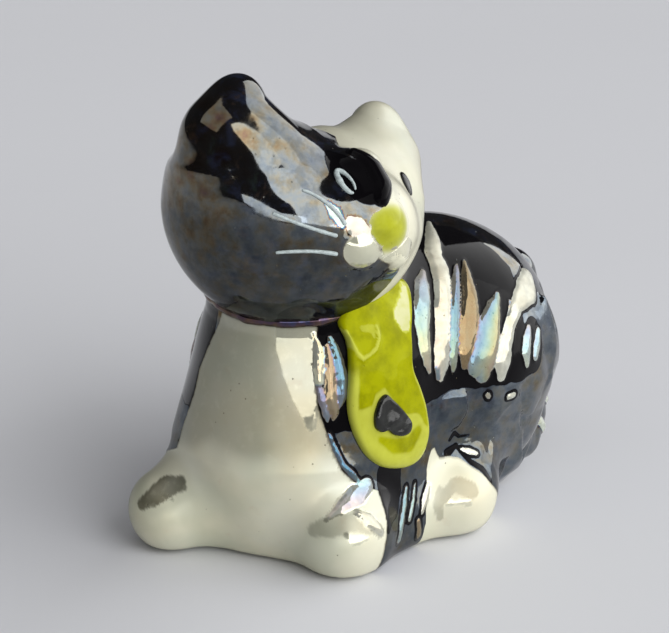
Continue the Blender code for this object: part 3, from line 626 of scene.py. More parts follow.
def trunk(props, material):
    """The trunk with its paws and tail: one skin, painted and raised."""
    body, head = body_form(), head_form()
    tail = tail_form(body)

    def form(p):
        whole = soft_low(soft_low(body(p), tail(p), TAIL_FILLET), head(p), NECK_FILLET)
        open_top = np.maximum(whole, 0.7 * (body(p) - head(p)))
        return -soft_low(-open_top, p[:, 2], BASE_ROUND)

    mesh = fine_skin("trunk", form, (0.0, 0.0, 12.0), props.grain)
    p = coordinates(mesh)
    ink = -np.maximum(bib_inside(p, head), sock_inside(p))
    strokes, pale, film = flank_strokes(p)
    plain = deep_black(p, strokes)
    rings = tail_rings(p)
    pale = np.where(rings > strokes, 1.0, pale)
    strokes = np.maximum(strokes, rings)
    hammered = step(-plain, 0.1, 0.6) * step(np.abs(p[:, 1]), 5.0, 8.0) * step(p[:, 0], -3.0, -1.0)
    hammered *= step(ink, 0.2, 1.2) * step(p[:, 2], 1.5, 3.5)
    height = props.glaze_rise * glaze_edge(p, ink) + props.stroke_rise * shoulder(strokes, 0.7)
    height += 0.02 * ripple(p, 1.8, 14) * step(strokes, 0.1, 0.5)
    height += hammered * facets(p) + 0.04 * ripple(p, 7.0, 23)
    height *= step(p[:, 2], 0.3, 1.5)
    raise_skin(mesh, form, height)
    nodes = ["body_casting", "tail"] + ["%s_paw_%s" % tuple(name.split("_")) for name in PAWS]
    hue = 66.0 + 12.0 * ripple(p, 5.0, 63) + 9.0 * ripple(p, 1.6, 64)
    hue += 90.0 * step(ripple(p, 5.0, 61), 0.9, 2.2)
    film = np.where(strokes > -0.1, film, hue)
    # The paws' dark olive patches and the upper bib's olive-grey are painted shade
    marks = {"ink": ink, "stroke": strokes, "pale": pale, "film": film, "plain": plain, "painted_shade": painted_shade_strength(p)}
    marks["satin"] = dullness(p, strokes)
    marks["sheen"] = 1.0 - 0.5 * step(7.5 - p[:, 0], 0.0, 3.0) * step(-strokes, 0.05, 0.15)
    return dressed(mesh, "trunk", material, nodes, {**plain_marks(ink), **marks})


# The hammered part of the flank, low and high corners, and how far its flats tilt
FACET_BOX = ((-3.0, -15.0, 1.0), (24.0, 15.0, 18.0))
FACET_TILTS = (0.13, 0.13, 0.06)


def facets(p, count=150):
    """Heights of the hammered facets of the lower flank: a small tilted flat round each of many spots."""
    rng = np.random.default_rng(21)
    spots = rng.uniform(*FACET_BOX, size=(count, 3))
    tilts = rng.normal(size=(count, 3)) * point(FACET_TILTS)
    total, weight = np.zeros(len(p)), np.full(len(p), 1e-9)
    for spot, tilt in zip(spots, tilts):
        away = (p - spot) * point((1.0, 1.0, 0.6))
        share = np.exp(-1.6 * np.einsum("ij,ij->i", away, away))
        total += share * (away @ tilt)
        weight += share
    return total / weight


def tail_path(body, count=14):
    """Middle line of the tail, down the back of the rump, and its radii."""
    t = np.linspace(0.0, 1.0, count)
    top, low = math.radians(26), math.asin(TAIL_TIP_Z / RUMP_RADIUS - 1.0)
    bearing = np.radians(-2.0 - 34.0 * t**2)
    z = RUMP_RADIUS * (1.0 + np.sin(top + (low - top) * t))
    axis = np.stack([np.full(count, RUMP_X), np.zeros(count), z], axis=1)
    base = ray_ends(body, axis, np.stack([np.cos(bearing), np.sin(bearing), np.zeros(count)], axis=1))
    return base - 0.7 * outward(body, base), 3.0 - 0.7 * t


def tail_form(body):
    """The tail as a chain of rods."""
    path, radii = tail_path(body)
    rods = [limb(a, b, ra, rb) for a, b, ra, rb in zip(path[:-1], path[1:], radii[:-1], radii[1:])]
    return lambda p: np.min([rod(p) for rod in rods], axis=0)


def tail_rings(p):
    """How far inside the tail's white rings points lie."""
    path, radii = tail_path(body_form())
    best = np.full(len(p), -FAR_OUT)
    for k in TAIL_RINGS_AT:
        along = path[k + 1] - path[k - 1]
        along /= np.linalg.norm(along)
        away = np.abs((p - path[k]) @ along)
        round_it = np.linalg.norm(p - path[k], axis=1) - radii[k] - 0.6
        best = np.maximum(best, -np.maximum(away - 0.55, round_it))
    return best


def plain_marks(ink):
    """Marks of a skin without strokes, painted shade or dull patches: positive ink is black lustre."""
    bare = np.zeros(len(ink))
    marks = {"ink": ink, "stroke": bare - 1.0, "pale": bare, "film": bare + UNMARKED_FILM}
    return {**marks, "plain": bare - 1.0, "painted_shade": bare, "satin": bare, "sheen": bare + 1.0}


def head(props, material):
    """The head with its ears: one skin, half black and half white."""
    body, skull = body_form(), face_form()

    def form(p):
        whole = soft_low(skull(p), body(p), NECK_FILLET)
        return np.maximum(whole, 0.7 * (skull(p) - body(p)))

    mesh = fine_skin("head", form, HEAD_CENTRE, props.grain)
    p = coordinates(mesh)
    local = from_head(p)
    ink = np.interp(np.degrees(np.arctan2(local[:, 1], local[:, 2])), *FACE_EDGE) - local[:, 0]
    muzzle = np.min([muzzle_form(name)(p) for name in MUZZLE], axis=0)
    ink = np.minimum(ink, muzzle - 0.25)
    ink = np.minimum(ink, -stroke_inside(local, *MUZZLE_WHITE))
    bead = stroke_inside(local, *BROW_BEAD)
    ink = np.maximum(ink, np.minimum(bead, 0.5))
    height = props.glaze_rise * glaze_edge(p, ink) + 0.4 * shoulder(bead, 0.9) * step(ink, -0.1, 0.3)
    height += 0.03 * ripple(p, 9.0, 33) + 0.008 * ripple(p, 3.0, 34)
    height -= 0.2 * step(stroke_inside(local, *MOUTH), -0.35, 0.25)
    for fold in CHEEK_FOLDS:
        height -= 0.16 * step(stroke_inside(local, *fold), -0.5, 0.2)
    raise_skin(mesh, form, height)
    film = 94.0 - 26.0 * step(local[:, 2], 1.5, 6.5) + 12.0 * ripple(p, 3.0, 64) + 8.0 * ripple(p, 1.3, 65)
    # Painted highlights: pale glossy enamel laid where the window shines on the snout
    painted_highlight = np.full(len(p), -FAR_OUT)
    for path, widths, thickness in SNOUT_PAINTED_HIGHLIGHTS:
        inside = stroke_inside(local, path, widths)
        film = np.where(inside > -0.1, thickness, film)
        painted_highlight = np.maximum(painted_highlight, inside)
    left, up, radius = EYE_BLACK
    eye = np.where(local[:, 2] > 5.0, radius - np.hypot(local[:, 0] - left, local[:, 1] - up), -1.0)
    marks = {"film": film, "stroke": painted_highlight, "pale": np.where(painted_highlight > -0.1, 0.9, 0.0)}
    marks["plain"] = np.maximum(bead + BLACK_HALO, eye)
    marks["satin"] = np.where(painted_highlight > -0.1, 0.0, 1.0)
    # Painted shade: the white is darkened towards the top of the head and the ears
    marks["painted_shade"] = 0.2 * step(local[:, 1], 3.5, 7.5)
    marks["sheen"] = 1.0 - 0.5 * step(-local[:, 1], -0.5, 3.5)
    nodes = ["head_casting", "ear_right", "ear_left"]
    return dressed(mesh, "head", material, nodes, {**plain_marks(ink), **marks})


# Material helpers

# Film thicknesses in this script are written for a film of this index
FILM_IOR_OF_MARKS = 1.86

# The glaze's surface in millimetres, the pits' radius as a share of their spacing
PEEL_DEPTH = 0.012
PIT_DEPTH = 0.05
PIT_SPACING = 1.1
PIT_RADIUS = 0.09


class Nodes:
    """Short-hand for building a material's node tree."""

    def __init__(self, name):
        self.material = bpy.data.materials.new(name)
        self.material.use_nodes = True
        self.tree = self.material.node_tree
        self.shader = self.tree.nodes["Principled BSDF"]
        self.place = self.new("ShaderNodeNewGeometry").outputs["Position"]

    def new(self, kind, **settings):
        node = self.tree.nodes.new(kind)
        for key, value in settings.items():
            setattr(node, key, value)
        return node

    def put(self, socket, value):
        if isinstance(value, bpy.types.NodeSocket):
            self.tree.links.new(value, socket)
        else:
            socket.default_value = value

    def feed(self, name, value):
        """Gives an input of the shader its value."""
        self.put(self.shader.inputs[name], value)

    def attribute(self, name):
        return self.new("ShaderNodeAttribute", attribute_name=name).outputs["Fac"]

    def noise(self, size, detail=3.0, rough=0.55, distortion=0.0, lift=0.0):
        """Noise with grains of about this size in millimetres."""
        node = self.new("ShaderNodeTexNoise")
        spot = self.new("ShaderNodeVectorMath", operation="ADD")
        self.put(spot.inputs[0], self.place)
        self.put(spot.inputs[1], (lift, 0.7 * lift, 1.3 * lift))
        self.put(node.inputs["Vector"], spot.outputs[0])
        node.inputs["Scale"].default_value = 1.0 / (size * MM)
        node.inputs["Detail"].default_value = detail
        node.inputs["Roughness"].default_value = rough
        node.inputs["Distortion"].default_value = distortion
        return node.outputs["Fac"]

    def cells(self, size):
        """Distance to the middle of cells of about this size in millimetres, as a share of it."""
        node = self.new("ShaderNodeTexVoronoi")
        self.put(node.inputs["Vector"], self.place)
        node.inputs["Scale"].default_value = 1.0 / (size * MM)
        return node.outputs["Distance"]

    def math(self, operation, a, b=0.0, clamp=False):
        node = self.new("ShaderNodeMath", operation=operation, use_clamp=clamp)
        self.put(node.inputs[0], a)
        self.put(node.inputs[1], b)
        return node.outputs[0]

    def times(self, a, b, clamp=False):
        return self.math("MULTIPLY", a, b, clamp)

    def rest(self, value):
        """What a share leaves of 1."""
        return self.math("SUBTRACT", 1.0, value)

    def span(self, value, low, high, out_low=0.0, out_high=1.0):
        """A smooth step from one number to another, as value goes from low to high."""
        node = self.new("ShaderNodeMapRange", interpolation_type="SMOOTHSTEP")
        for socket, number in zip(node.inputs, (value, low, high, out_low, out_high)):
            self.put(socket, number)
        return node.outputs[0]

    def mix(self, factor, a, b):
        """A colour between two others."""
        node = self.new("ShaderNodeMix", data_type="RGBA")
        colours = [socket for socket in node.inputs if socket.type == "RGBA"]
        self.put(node.inputs[0], factor)
        for socket, value in zip(colours, (a, b)):
            self.put(socket, value)
        return [socket for socket in node.outputs if socket.type == "RGBA"][0]

    def blend(self, factor, a, b):
        """A number between two others."""
        node = self.new("ShaderNodeMix", data_type="FLOAT")
        self.put(node.inputs[0], factor)
        self.put(node.inputs[2], a)
        self.put(node.inputs[3], b)
        return node.outputs[0]

    def bump(self, height, depth, normal=None):
        """Bump of this depth in millimetres."""
        node = self.new("ShaderNodeBump")
        node.inputs["Strength"].default_value = 1.0
        node.inputs["Distance"].default_value = depth * MM
        self.put(node.inputs["Height"], height)
        if normal is not None:
            self.put(node.inputs["Normal"], normal)
        return node.outputs[0]


def paint(rgb):
    """An sRGB colour from 0 to 255 as a linear one."""
    return (*[((c / 255 + 0.055) / 1.055) ** 2.4 if c > 10 else c / 3294.6 for c in rgb], 1.0)


def glassy(nodes, colour, ior, dull=0.0):
    """Sets a glaze's shader: colour, gloss, and a wavy surface with small pits. Gives back the pits."""
    few = nodes.math("GREATER_THAN", nodes.noise(3.5, 1.0, lift=0.4), 0.52)
    pits = nodes.times(nodes.span(nodes.cells(PIT_SPACING), PIT_RADIUS, 0.5 * PIT_RADIUS), few)
    smear = nodes.span(nodes.noise(1.7, 3.0, lift=0.2), 0.35, 0.75, 0.05, 0.11)
    peel = nodes.bump(nodes.noise(1.6, 2.0, 0.5), PEEL_DEPTH)
    nodes.feed("Base Color", colour)
    nodes.feed("Roughness", nodes.math("ADD", smear, dull))
    nodes.feed("IOR", ior)
    nodes.feed("Normal", nodes.bump(nodes.rest(pits), PIT_DEPTH, peel))
    return pits


def mottled_black(nodes, colours):
    """Black lustre: brown, blue and green clouds over a near black."""
    base = paint(colours.black)
    cloud = nodes.noise(2.2, 5.0, 0.62, 0.4)
    blue = nodes.mix(nodes.span(cloud, 0.5, 0.66), base, paint(colours.black_blue))
    brown = nodes.mix(nodes.span(nodes.noise(1.6, 5.0, 0.62, 0.6, lift=0.11), 0.54, 0.7), blue,
                      paint(colours.black_brown))
    green = nodes.span(nodes.noise(2.8, 4.0, 0.6, 0.3, lift=0.23), 0.6, 0.72)
    return nodes.mix(nodes.times(green, 0.5), brown, paint(colours.black_green))


def cloudy_white(nodes, colours):
    """Pearl white: faint grey-green pools, warm freckles, and olive painted shade where it is marked."""
    pool = nodes.span(nodes.noise(7.0, 3.0, 0.5, lift=0.31), 0.42, 0.66)
    white = nodes.mix(nodes.times(pool, 0.55), paint(colours.white), paint(colours.white_pool))
    warm = nodes.span(nodes.noise(2.6, 4.0, 0.6, lift=0.37), 0.6, 0.76)
    white = nodes.mix(nodes.times(warm, 0.4), white, paint(colours.white_warm))
    # Painted shade: the marked places are darkened towards olive
    ragged = nodes.times(nodes.attribute("painted_shade"), nodes.span(nodes.noise(1.2, 4.0, 0.6), 0.2, 0.5, 0.75))
    return nodes.mix(ragged, white, paint(colours.painted_shade))


def brushed_enamel(nodes, colours, pale):
    """The strokes' colour: streaky white enamel where they are pale, specked gold ground elsewhere."""
    streak = nodes.span(nodes.noise(1.1, 3.0, 0.5, 0.3, lift=0.5), 0.35, 0.7)
    enamel = nodes.mix(streak, paint(colours.stroke), paint(colours.stroke_thin))
    enamel = nodes.mix(pale, paint(colours.gold_ground), enamel)
    speck = nodes.span(nodes.cells(0.5), 0.28, 0.14)
    speck = nodes.times(speck, nodes.span(nodes.noise(1.3, 2.0, lift=0.8), 0.48, 0.6))
    return nodes.mix(nodes.times(speck, nodes.rest(pale)), enamel, paint(colours.black_brown))


def lustre_film(nodes, ink, stroke, plain):
    """Thickness of the lustre film: pearl on white, as marked on black and strokes, none on plain black."""
    slow = nodes.span(nodes.noise(6.0, 2.0, 0.5, 0.3, lift=0.6), 0.32, 0.68, -8.0, 12.0)
    fine = nodes.span(nodes.noise(1.3, 4.0, 0.65, lift=0.7), 0.3, 0.7, -14.0, 14.0)
    pearl = nodes.span(nodes.noise(8.0, 2.0, lift=0.9), 0.3, 0.7, 72.0, 98.0)
    marked = nodes.math("ADD", nodes.attribute("film"), nodes.times(fine, nodes.blend(stroke, 1.0, 0.5)))
    film = nodes.blend(stroke, nodes.blend(ink, pearl, nodes.math("ADD", marked, slow)), marked)
    return nodes.times(film, nodes.rest(plain))


def painted_lustre(name, colours, film_ior):
    """The castings' glaze: pearl white, black lustre over it, strokes of enamel and lustre on top."""
    nodes = Nodes(name)
    wobble = nodes.times(nodes.math("SUBTRACT", nodes.noise(0.5, 3.0), 0.5), 0.14)
    marks = [nodes.attribute(mark) for mark in ("ink", "stroke", "plain")]
    ink_edge, stroke, plain = (nodes.math("ADD", mark, wobble) for mark in marks)
    ink = nodes.span(ink_edge, -0.04, 0.04)
    stroke = nodes.span(stroke, 0.0, 0.08)
    plain = nodes.times(nodes.span(plain, -0.05, 0.1), nodes.math("SUBTRACT", ink, stroke, clamp=True))
    dark = nodes.mix(plain, mottled_black(nodes, colours), paint(colours.black))
    colour = nodes.mix(ink, cloudy_white(nodes, colours), dark)
    rim = nodes.times(nodes.span(ink_edge, -0.22, 0.0), nodes.span(ink_edge, 0.12, 0.0))
    colour = nodes.mix(nodes.times(rim, 0.6), colour, paint(colours.edge))
    colour = nodes.mix(stroke, colour, brushed_enamel(nodes, colours, nodes.attribute("pale")))
    covered = nodes.times(ink, nodes.rest(stroke))
    satin = nodes.times(nodes.attribute("satin"), nodes.rest(covered))
    pits = glassy(nodes, colour, 1.58, nodes.times(satin, 0.35))
    nodes.feed("Base Color", nodes.mix(nodes.times(pits, 0.7), colour, paint(colours.edge)))
    grain = nodes.span(nodes.noise(1.3, 5.0, 0.62, 0.3, lift=0.45), 0.36, 0.64, 0.75, 1.1)
    grain = nodes.blend(nodes.math("MAXIMUM", stroke, nodes.rest(ink)), grain, 1.0)
    tint = nodes.times(grain, nodes.attribute("sheen"), clamp=True)
    nodes.feed("Specular Tint", nodes.mix(plain, tint, (0.02, 0.02, 0.02, 1.0)))
    film = lustre_film(nodes, ink, stroke, plain)
    nodes.feed("Thin Film Thickness", nodes.times(film, FILM_IOR_OF_MARKS / film_ior))
    nodes.feed("Thin Film IOR", film_ior)
    gleam = nodes.times(nodes.rest(ink), nodes.span(satin, 0.5, 0.0))
    nodes.feed("Metallic", nodes.blend(stroke, nodes.times(gleam, 0.4), 0.3))
    return nodes.material


def lime_glaze(name, colours):
    """Lime glaze: deep where it pools, pale and thin over raised edges, and paled to white as a painted
    window reflection where marked.
    """
    nodes = Nodes(name)
    thin = nodes.attribute("thin")
    cloud = nodes.span(nodes.noise(2.2, 4.0, 0.6), 0.35, 0.7)
    deep = nodes.mix(cloud, paint(colours.lime), paint(colours.lime_deep))
    ragged = nodes.math("ADD", thin, nodes.times(nodes.noise(0.8, 3.0), 0.3))
    colour = nodes.mix(nodes.span(ragged, 0.35, 1.1), deep, paint(colours.lime_pale))
    # Painted reflection: the most strongly marked places are paled to white as the window's reflection
    colour = nodes.mix(nodes.span(ragged, 1.2, 1.5, 0.0, 0.6), colour, paint(colours.white))
    colour = nodes.mix(nodes.attribute("bare"), colour, paint(colours.white))
    glassy(nodes, colour, 1.34)
    nodes.feed("Specular Tint", (0.6, 0.65, 0.06, 1.0))
    return nodes.material


def enamel(name, colours, kind, roughness):
    """Brushed enamel, black or white: a little streaked and uneven."""
    nodes = Nodes(name)
    thick, thin = getattr(colours, "enamel_" + kind), getattr(colours, "enamel_%s_thin" % kind)
    streak = nodes.span(nodes.noise(0.35, 3.0, 0.6), 0.3, 0.72)
    rough = nodes.span(nodes.noise(0.6, 2.0, lift=0.3), 0.3, 0.7, roughness, roughness + 0.12)
    nodes.feed("Base Color", nodes.mix(streak, paint(thick), paint(thin)))
    nodes.feed("Roughness", rough)
    nodes.feed("IOR", 1.45)
    nodes.feed("Normal", nodes.bump(nodes.noise(0.4, 3.0, 0.6), 0.03))
    return nodes.material


# Raised pieces


def ring_faces(rings, count, closed=False):
    """Faces between rings of points, and a cap on each end if the rings don't close on themselves."""
    faces = []
    for i in range(rings if closed else rings - 1):
        j = (i + 1) % rings
        for k in range(count):
            m = (k + 1) % count
            faces.append((i * count + k, i * count + m, j * count + m, j * count + k))
    if not closed:
        faces += [tuple(range(count)), tuple(range((rings - 1) * count, rings * count))]
    return faces


def tube(name, path, normals, radii, sides=14, closed=False):
    """A brushed stroke or a cord of clay along a path, with round ends if it is open."""
    along = np.roll(path, -1, axis=0) - np.roll(path, 1, axis=0) if closed else np.gradient(path, axis=0)
    along /= np.linalg.norm(along, axis=1)[:, None]
    stations = list(zip(path, along, normals, radii))
    if not closed:
        turns = np.radians((18, 36, 54, 70, 82))
        first, last = [
            [(p + s * r * math.sin(t) * a, a, n, r * math.cos(t)) for t in turns]
            for (p, a, n, r), s in ((stations[0], -1.0), (stations[-1], 1.0))
        ]
        stations = first[::-1] + stations + last
    turns = 2.0 * math.pi * np.arange(sides) / sides
    points = []
    for place, direction, normal, radius in stations:
        across = np.cross(direction, normal)
        across /= np.linalg.norm(across)
        lift = np.cross(across, direction)
        points += list(place + radius * (np.cos(turns)[:, None] * across + np.sin(turns)[:, None] * lift))
    return mesh_from(name, points, ring_faces(len(stations), sides, closed))


def face_places(places):
    """Where points given as left and up of the head's frame meet its face, and the normals."""
    skull = head_form()
    starts = on_head([(left, up, 0.0) for left, up in places])
    base = ray_ends(skull, starts, np.tile(head_axes()[:, 2], (len(starts), 1)))
    return base, outward(skull, base)


def plate(name, form, inside, across, up, outline, profile, sink=0.5):
    """A relief on a form: rings of its outline drawn in, each at the height that profile gives."""
    facing = np.cross(across, up)
    facing /= np.linalg.norm(facing)
    points = []
    for share, height in [(1.0, -sink)] + list(profile):
        ring = outline * share
        starts = point(inside) + ring[:, :1] * across + ring[:, 1:] * up
        base = ray_ends(form, starts, np.tile(facing, (len(outline), 1)))
        points.append(base + height * outward(form, base))
    return mesh_from(name, np.concatenate(points), ring_faces(len(points), len(outline)))


def chest_plate(name, centre, outline, profile, sink=0.5):
    """A relief on the chest's near side, its outline given across and up from its centre."""
    across, up = point((1.0, 0.0, 0.0)), point((0.0, 0.0, 1.0))
    return plate(name, body_form(), (centre[0], 0.0, centre[1]), across, up, outline, profile, sink)


def smooth_loop(corners, count):
    """A smooth closed line through corners, as points at even parameters."""
    corners = point(corners)
    t = np.arange(count) * len(corners) / count
    k, t = t.astype(int), (t % 1.0)[:, None]
    a, b, c, d = (corners[(k + i) % len(corners)] for i in (-1, 0, 1, 2))
    return 0.5 * (2 * b + (c - a) * t + (2 * a - 5 * b + 4 * c - d) * t**2 + (3 * b - a - 3 * c + d) * t**3)


def necktie(props, material):
    """The necktie: a flat pad with a round edge, under the chin, its glaze run thin at the foot."""
    body = body_form()
    profile = TIE_SHOULDER + tuple((share, 1.04) for share in np.linspace(0.82, 0.02, 36))
    profile = [(share, height * props.tie_rise / 1.1) for share, height in profile]
    outline = smooth_loop(TIE_CORNERS, 160) - point(TIE_CENTRE)
    mesh = chest_plate("necktie", TIE_CENTRE, outline, profile)
    p = coordinates(mesh)
    flat = p * point((1.0, 0.0, 1.0))
    loop = np.insert(outline + point(TIE_CENTRE), 1, 0.0, axis=1)[::4]
    rim = step(stroke_inside(flat, np.append(loop, loop[:1], axis=0), [0.7] * (len(loop) + 1)), 0.0, 0.55)
    rim *= 0.25 + 0.75 * step(22.0 - p[:, 2], 0.0, 3.0)
    ridge = step(stroke_inside(flat, *TIE_RIDGE), -0.12, 0.1)
    raise_skin(mesh, body, 0.04 * ripple(p, 3.0, 41) + 0.14 * ridge)
    foot = 0.75 * step(np.interp(p[:, 0], *TIE_FOOT) + 0.3 * ripple(p, 3.5, 42) - p[:, 2], -0.2, 0.4)
    foot *= 1.0 - 0.85 * step(stroke_inside(flat, *TIE_HALO), -0.3, 0.3)
    # Painted reflection: pale patches on the tie's upper corners where the window shows in it
    painted_glare = [strength * step(stroke_inside(flat, places, widths), -0.05, 0.15)
               for places, widths, strength in TIE_PAINTED_GLARE]
    thin = np.max([0.9 * rim, foot, ridge, *painted_glare], axis=0)
    return dressed(mesh, "necktie", material, ["necktie"], {"thin": thin, "bare": 0.0 * thin})


def tie_heart(props, material):
    """The heart on the tie: a thick drop of black enamel, its point upwards."""
    outline = smooth_loop(HEART_CORNERS, 72) - point(HEART_CENTRE)
    base = props.tie_rise
    profile = [(1.0, base + 0.1), (0.97, base + 0.3), (0.9, base + 0.45), (0.8, base + 0.5)]
    profile += [(s, base + 0.5 + 0.06 * math.sin(9.0 * s)) for s in (0.65, 0.5, 0.35, 0.2, 0.08)]
    mesh = chest_plate("tie_heart", HEART_CENTRE, outline, profile, sink=-0.6)
    raise_skin(mesh, body_form(), 0.08 * ripple(coordinates(mesh), 1.8, 43))
    return dressed(mesh, "tie_heart", material, ["tie_heart"])


def muzzle_skin(name, grain):
    """The nose or a pad: its own stretch of the face, a hair proud of the head."""
    face, own = face_form(), muzzle_form(name)
    others = [muzzle_form(other) for other in MUZZLE if other != name]

    def form(p):
        reach = own(p)
        stretch = np.maximum(reach - 0.75, reach - np.minimum(others[0](p), others[1](p)))
        return np.maximum(face(p) - 0.03, stretch)

    return fine_skin(name, form, on_head(MUZZLE[name][0]), grain)


def crease(count):
    """The crease between the head and the body: places and normals."""
    body, skull = body_form(), head_form()
    turns = 2.0 * math.pi * np.arange(count) / count
    low, high = np.full(count, math.radians(-89)), np.full(count, math.radians(-10))
    for _ in range(30):
        dip = 0.5 * (low + high)
        rays = np.stack([np.cos(dip) * np.cos(turns), np.cos(dip) * np.sin(turns), np.sin(dip)], axis=1)
        line = ray_ends(skull, HEAD_CENTRE, rays)
        sunk = body(line) < 0.0
        low, high = np.where(sunk, dip, low), np.where(sunk, high, dip)
    normals = outward(skull, line) + outward(body, line)
    return line, normals / np.linalg.norm(normals, axis=1)[:, None]


# Settings


class FigurineSizes(bpy.types.PropertyGroup):
    """Sizes that a user may change, in millimetres."""

    grain: FloatProperty(name="Grain", description="Edge length of the fine skins", default=0.25, min=0.1)
    glaze_rise: FloatProperty(name="Glaze rise", description="How far black glaze stands up", default=0.09)
    stroke_rise: FloatProperty(name="Stroke rise", description="Height of enamel strokes", default=0.3)
    tie_rise: FloatProperty(name="Tie rise", description="Height of the necktie", default=1.1)
    whisker_radius: FloatProperty(name="Whisker radius", description="Half width of a whisker", default=0.21)
    collar_radius: FloatProperty(name="Collar radius", description="Half width of the collar", default=0.6)
    ring_radius: FloatProperty(name="Eye ring radius", description="Radius of the eye ring", default=0.8)


def colour_property(name, description, rgb):
    """A colour as three sRGB numbers from 0 to 255."""
    return FloatVectorProperty(name=name, description=description, size=3, default=rgb, min=0, max=255)


class FigurineColours(bpy.types.PropertyGroup):
    """Glaze colours, sRGB from 0 to 255."""

    white: colour_property("White", "Pearl white", (200, 198, 177))
    white_pool: colour_property("White pool", "Pooled white", (176, 180, 158))
    white_warm: colour_property("White freckles", "Warm freckles", (186, 172, 148))
    black: colour_property("Black", "Black lustre", (9, 8, 10))
    black_blue: colour_property("Black, blue", "Blue clouds", (20, 24, 38))
    black_brown: colour_property("Black, brown", "Brown clouds", (38, 29, 24))
    black_green: colour_property("Black, green", "Green clouds", (26, 36, 30))
    edge: colour_property("Edge", "Stain along glaze edges", (70, 62, 44))
    stroke: colour_property("Stroke", "White enamel strokes", (196, 198, 186))
    stroke_thin: colour_property("Stroke, thin", "Thin enamel", (168, 170, 160))
    gold_ground: colour_property("Gold ground", "Ground of the gold strokes", (58, 47, 28))
    # The colour of the painted shade on the paws, the upper bib and the top of the head
    painted_shade: colour_property("Stain", "Olive stains on the paws", (72, 70, 54))
    lime: colour_property("Lime", "Lime glaze", (146, 149, 6))
    lime_deep: colour_property("Lime, deep", "Pooled lime", (120, 122, 4))
    lime_pale: colour_property("Lime, pale", "Thin lime", (170, 173, 66))
    enamel_white: colour_property("White enamel", "Whiskers and eye ring", (172, 184, 184))
    enamel_white_thin: colour_property("White enamel, thin", "Thin white enamel", (150, 160, 160))
    enamel_black: colour_property("Black enamel", "Heart and eye spot", (12, 12, 11))
    enamel_black_thin: colour_property("Black enamel, thin", "Thin black enamel", (30, 31, 28))


class FigurineStudio(bpy.types.PropertyGroup):
    """The studio round the figurine."""

    azimuth: FloatProperty(name="Azimuth", description="Camera bearing", subtype="ANGLE",
                           default=math.radians(-45))
    elevation: FloatProperty(name="Elevation", description="Camera height", subtype="ANGLE",
                             default=math.radians(22))
    distance: FloatProperty(name="Distance", description="Camera distance", unit="LENGTH", default=0.4)
    window: FloatProperty(name="Window", description="Brightness of the tall soft panes", default=3.0)
    sill: FloatProperty(name="Sill", description="Brightness of the low bright light", default=3.2)
    ceiling: FloatProperty(name="Ceiling", description="Brightness of the high soft light", default=0.7)
    room: FloatProperty(name="Room", description="Brightness of the dark room", default=0.03)
    floor: colour_property("Floor", "Pale floor", (214, 215, 219))


class FigurineSettings(bpy.types.PropertyGroup):
    """All the settings of the figurine."""

    sizes: PointerProperty(type=FigurineSizes)
    colours: PointerProperty(type=FigurineColours)
    studio: PointerProperty(type=FigurineStudio)


def settings():
    """The figurine's settings in this scene."""
    return bpy.context.scene.figurine


def material_named(name, make, *values):
    """The material of this name, made the first time it is asked for."""
    return bpy.data.materials.get(name) or make(name, settings().colours, *values)


def painted():
    return material_named("painted_lustre", painted_lustre, 1.84)


def brushed():
    return material_named("brushed_lustre", painted_lustre, 2.02)


def lime():
    return material_named("pooled_lime", lime_glaze)


def black_enamel():
    return material_named("brushed_black", enamel, "black", 0.08)


def white_enamel():
    return material_named("brushed_white", enamel, "white", 0.25)


class BuildTrunk(bpy.types.Operator):
    """Builds the trunk with its paws and tail"""

    bl_idname = "figurine.trunk"
    bl_label = "Trunk, paws and tail"

    def execute(self, context):
        trunk(settings().sizes, brushed())
        return {"FINISHED"}


class BuildHead(bpy.types.Operator):
    """Builds the head with its ears"""

    bl_idname = "figurine.head"
    bl_label = "Head and ears"

    def execute(self, context):
        head(settings().sizes, painted())
        return {"FINISHED"}


class BuildCollar(bpy.types.Operator):
    """Lays the cord of clay in the crease under the head"""

    bl_idname = "figurine.collar"
    bl_label = "Collar"

    def execute(self, context):
        line, normals = crease(180)
        radii = settings().sizes.collar_radius * (1.0 + 0.14 * ripple(line, 2.2, 51))
        mesh = tube("collar", line - 0.1 * normals, normals, radii, 16, closed=True)
        marks = plain_marks(np.ones(len(mesh.vertices)))
        dressed(mesh, "collar", painted(), ["collar"], marks)
        return {"FINISHED"}


class BuildMuzzle(bpy.types.Operator):
    """Sets the nose and the two whisker pads"""

    bl_idname = "figurine.muzzle"
    bl_label = "Nose and whisker pads"

    def execute(self, context):
        grain = 0.6 * settings().sizes.grain
        for name in MUZZLE:
            mesh = muzzle_skin(name, grain)
            p = coordinates(mesh)
            rim = muzzle_form(name)(p)
            if name == "nose":
                marks = {"thin": 0.35 + 0.4 * step(rim, -0.2, 0.3), "bare": step(rim, 0.1, 0.6)}
                dressed(mesh, name, lime(), ["nose_button"], marks)
            else:
                dressed(mesh, name, painted(), [name], plain_marks(-np.ones(len(p))))
        return {"FINISHED"}


class BuildNecktie(bpy.types.Operator):
    """Lays the necktie and its heart on the chest"""

    bl_idname = "figurine.necktie"
    bl_label = "Necktie and heart"

    def execute(self, context):
        necktie(settings().sizes, lime())
        tie_heart(settings().sizes, black_enamel())
        return {"FINISHED"}


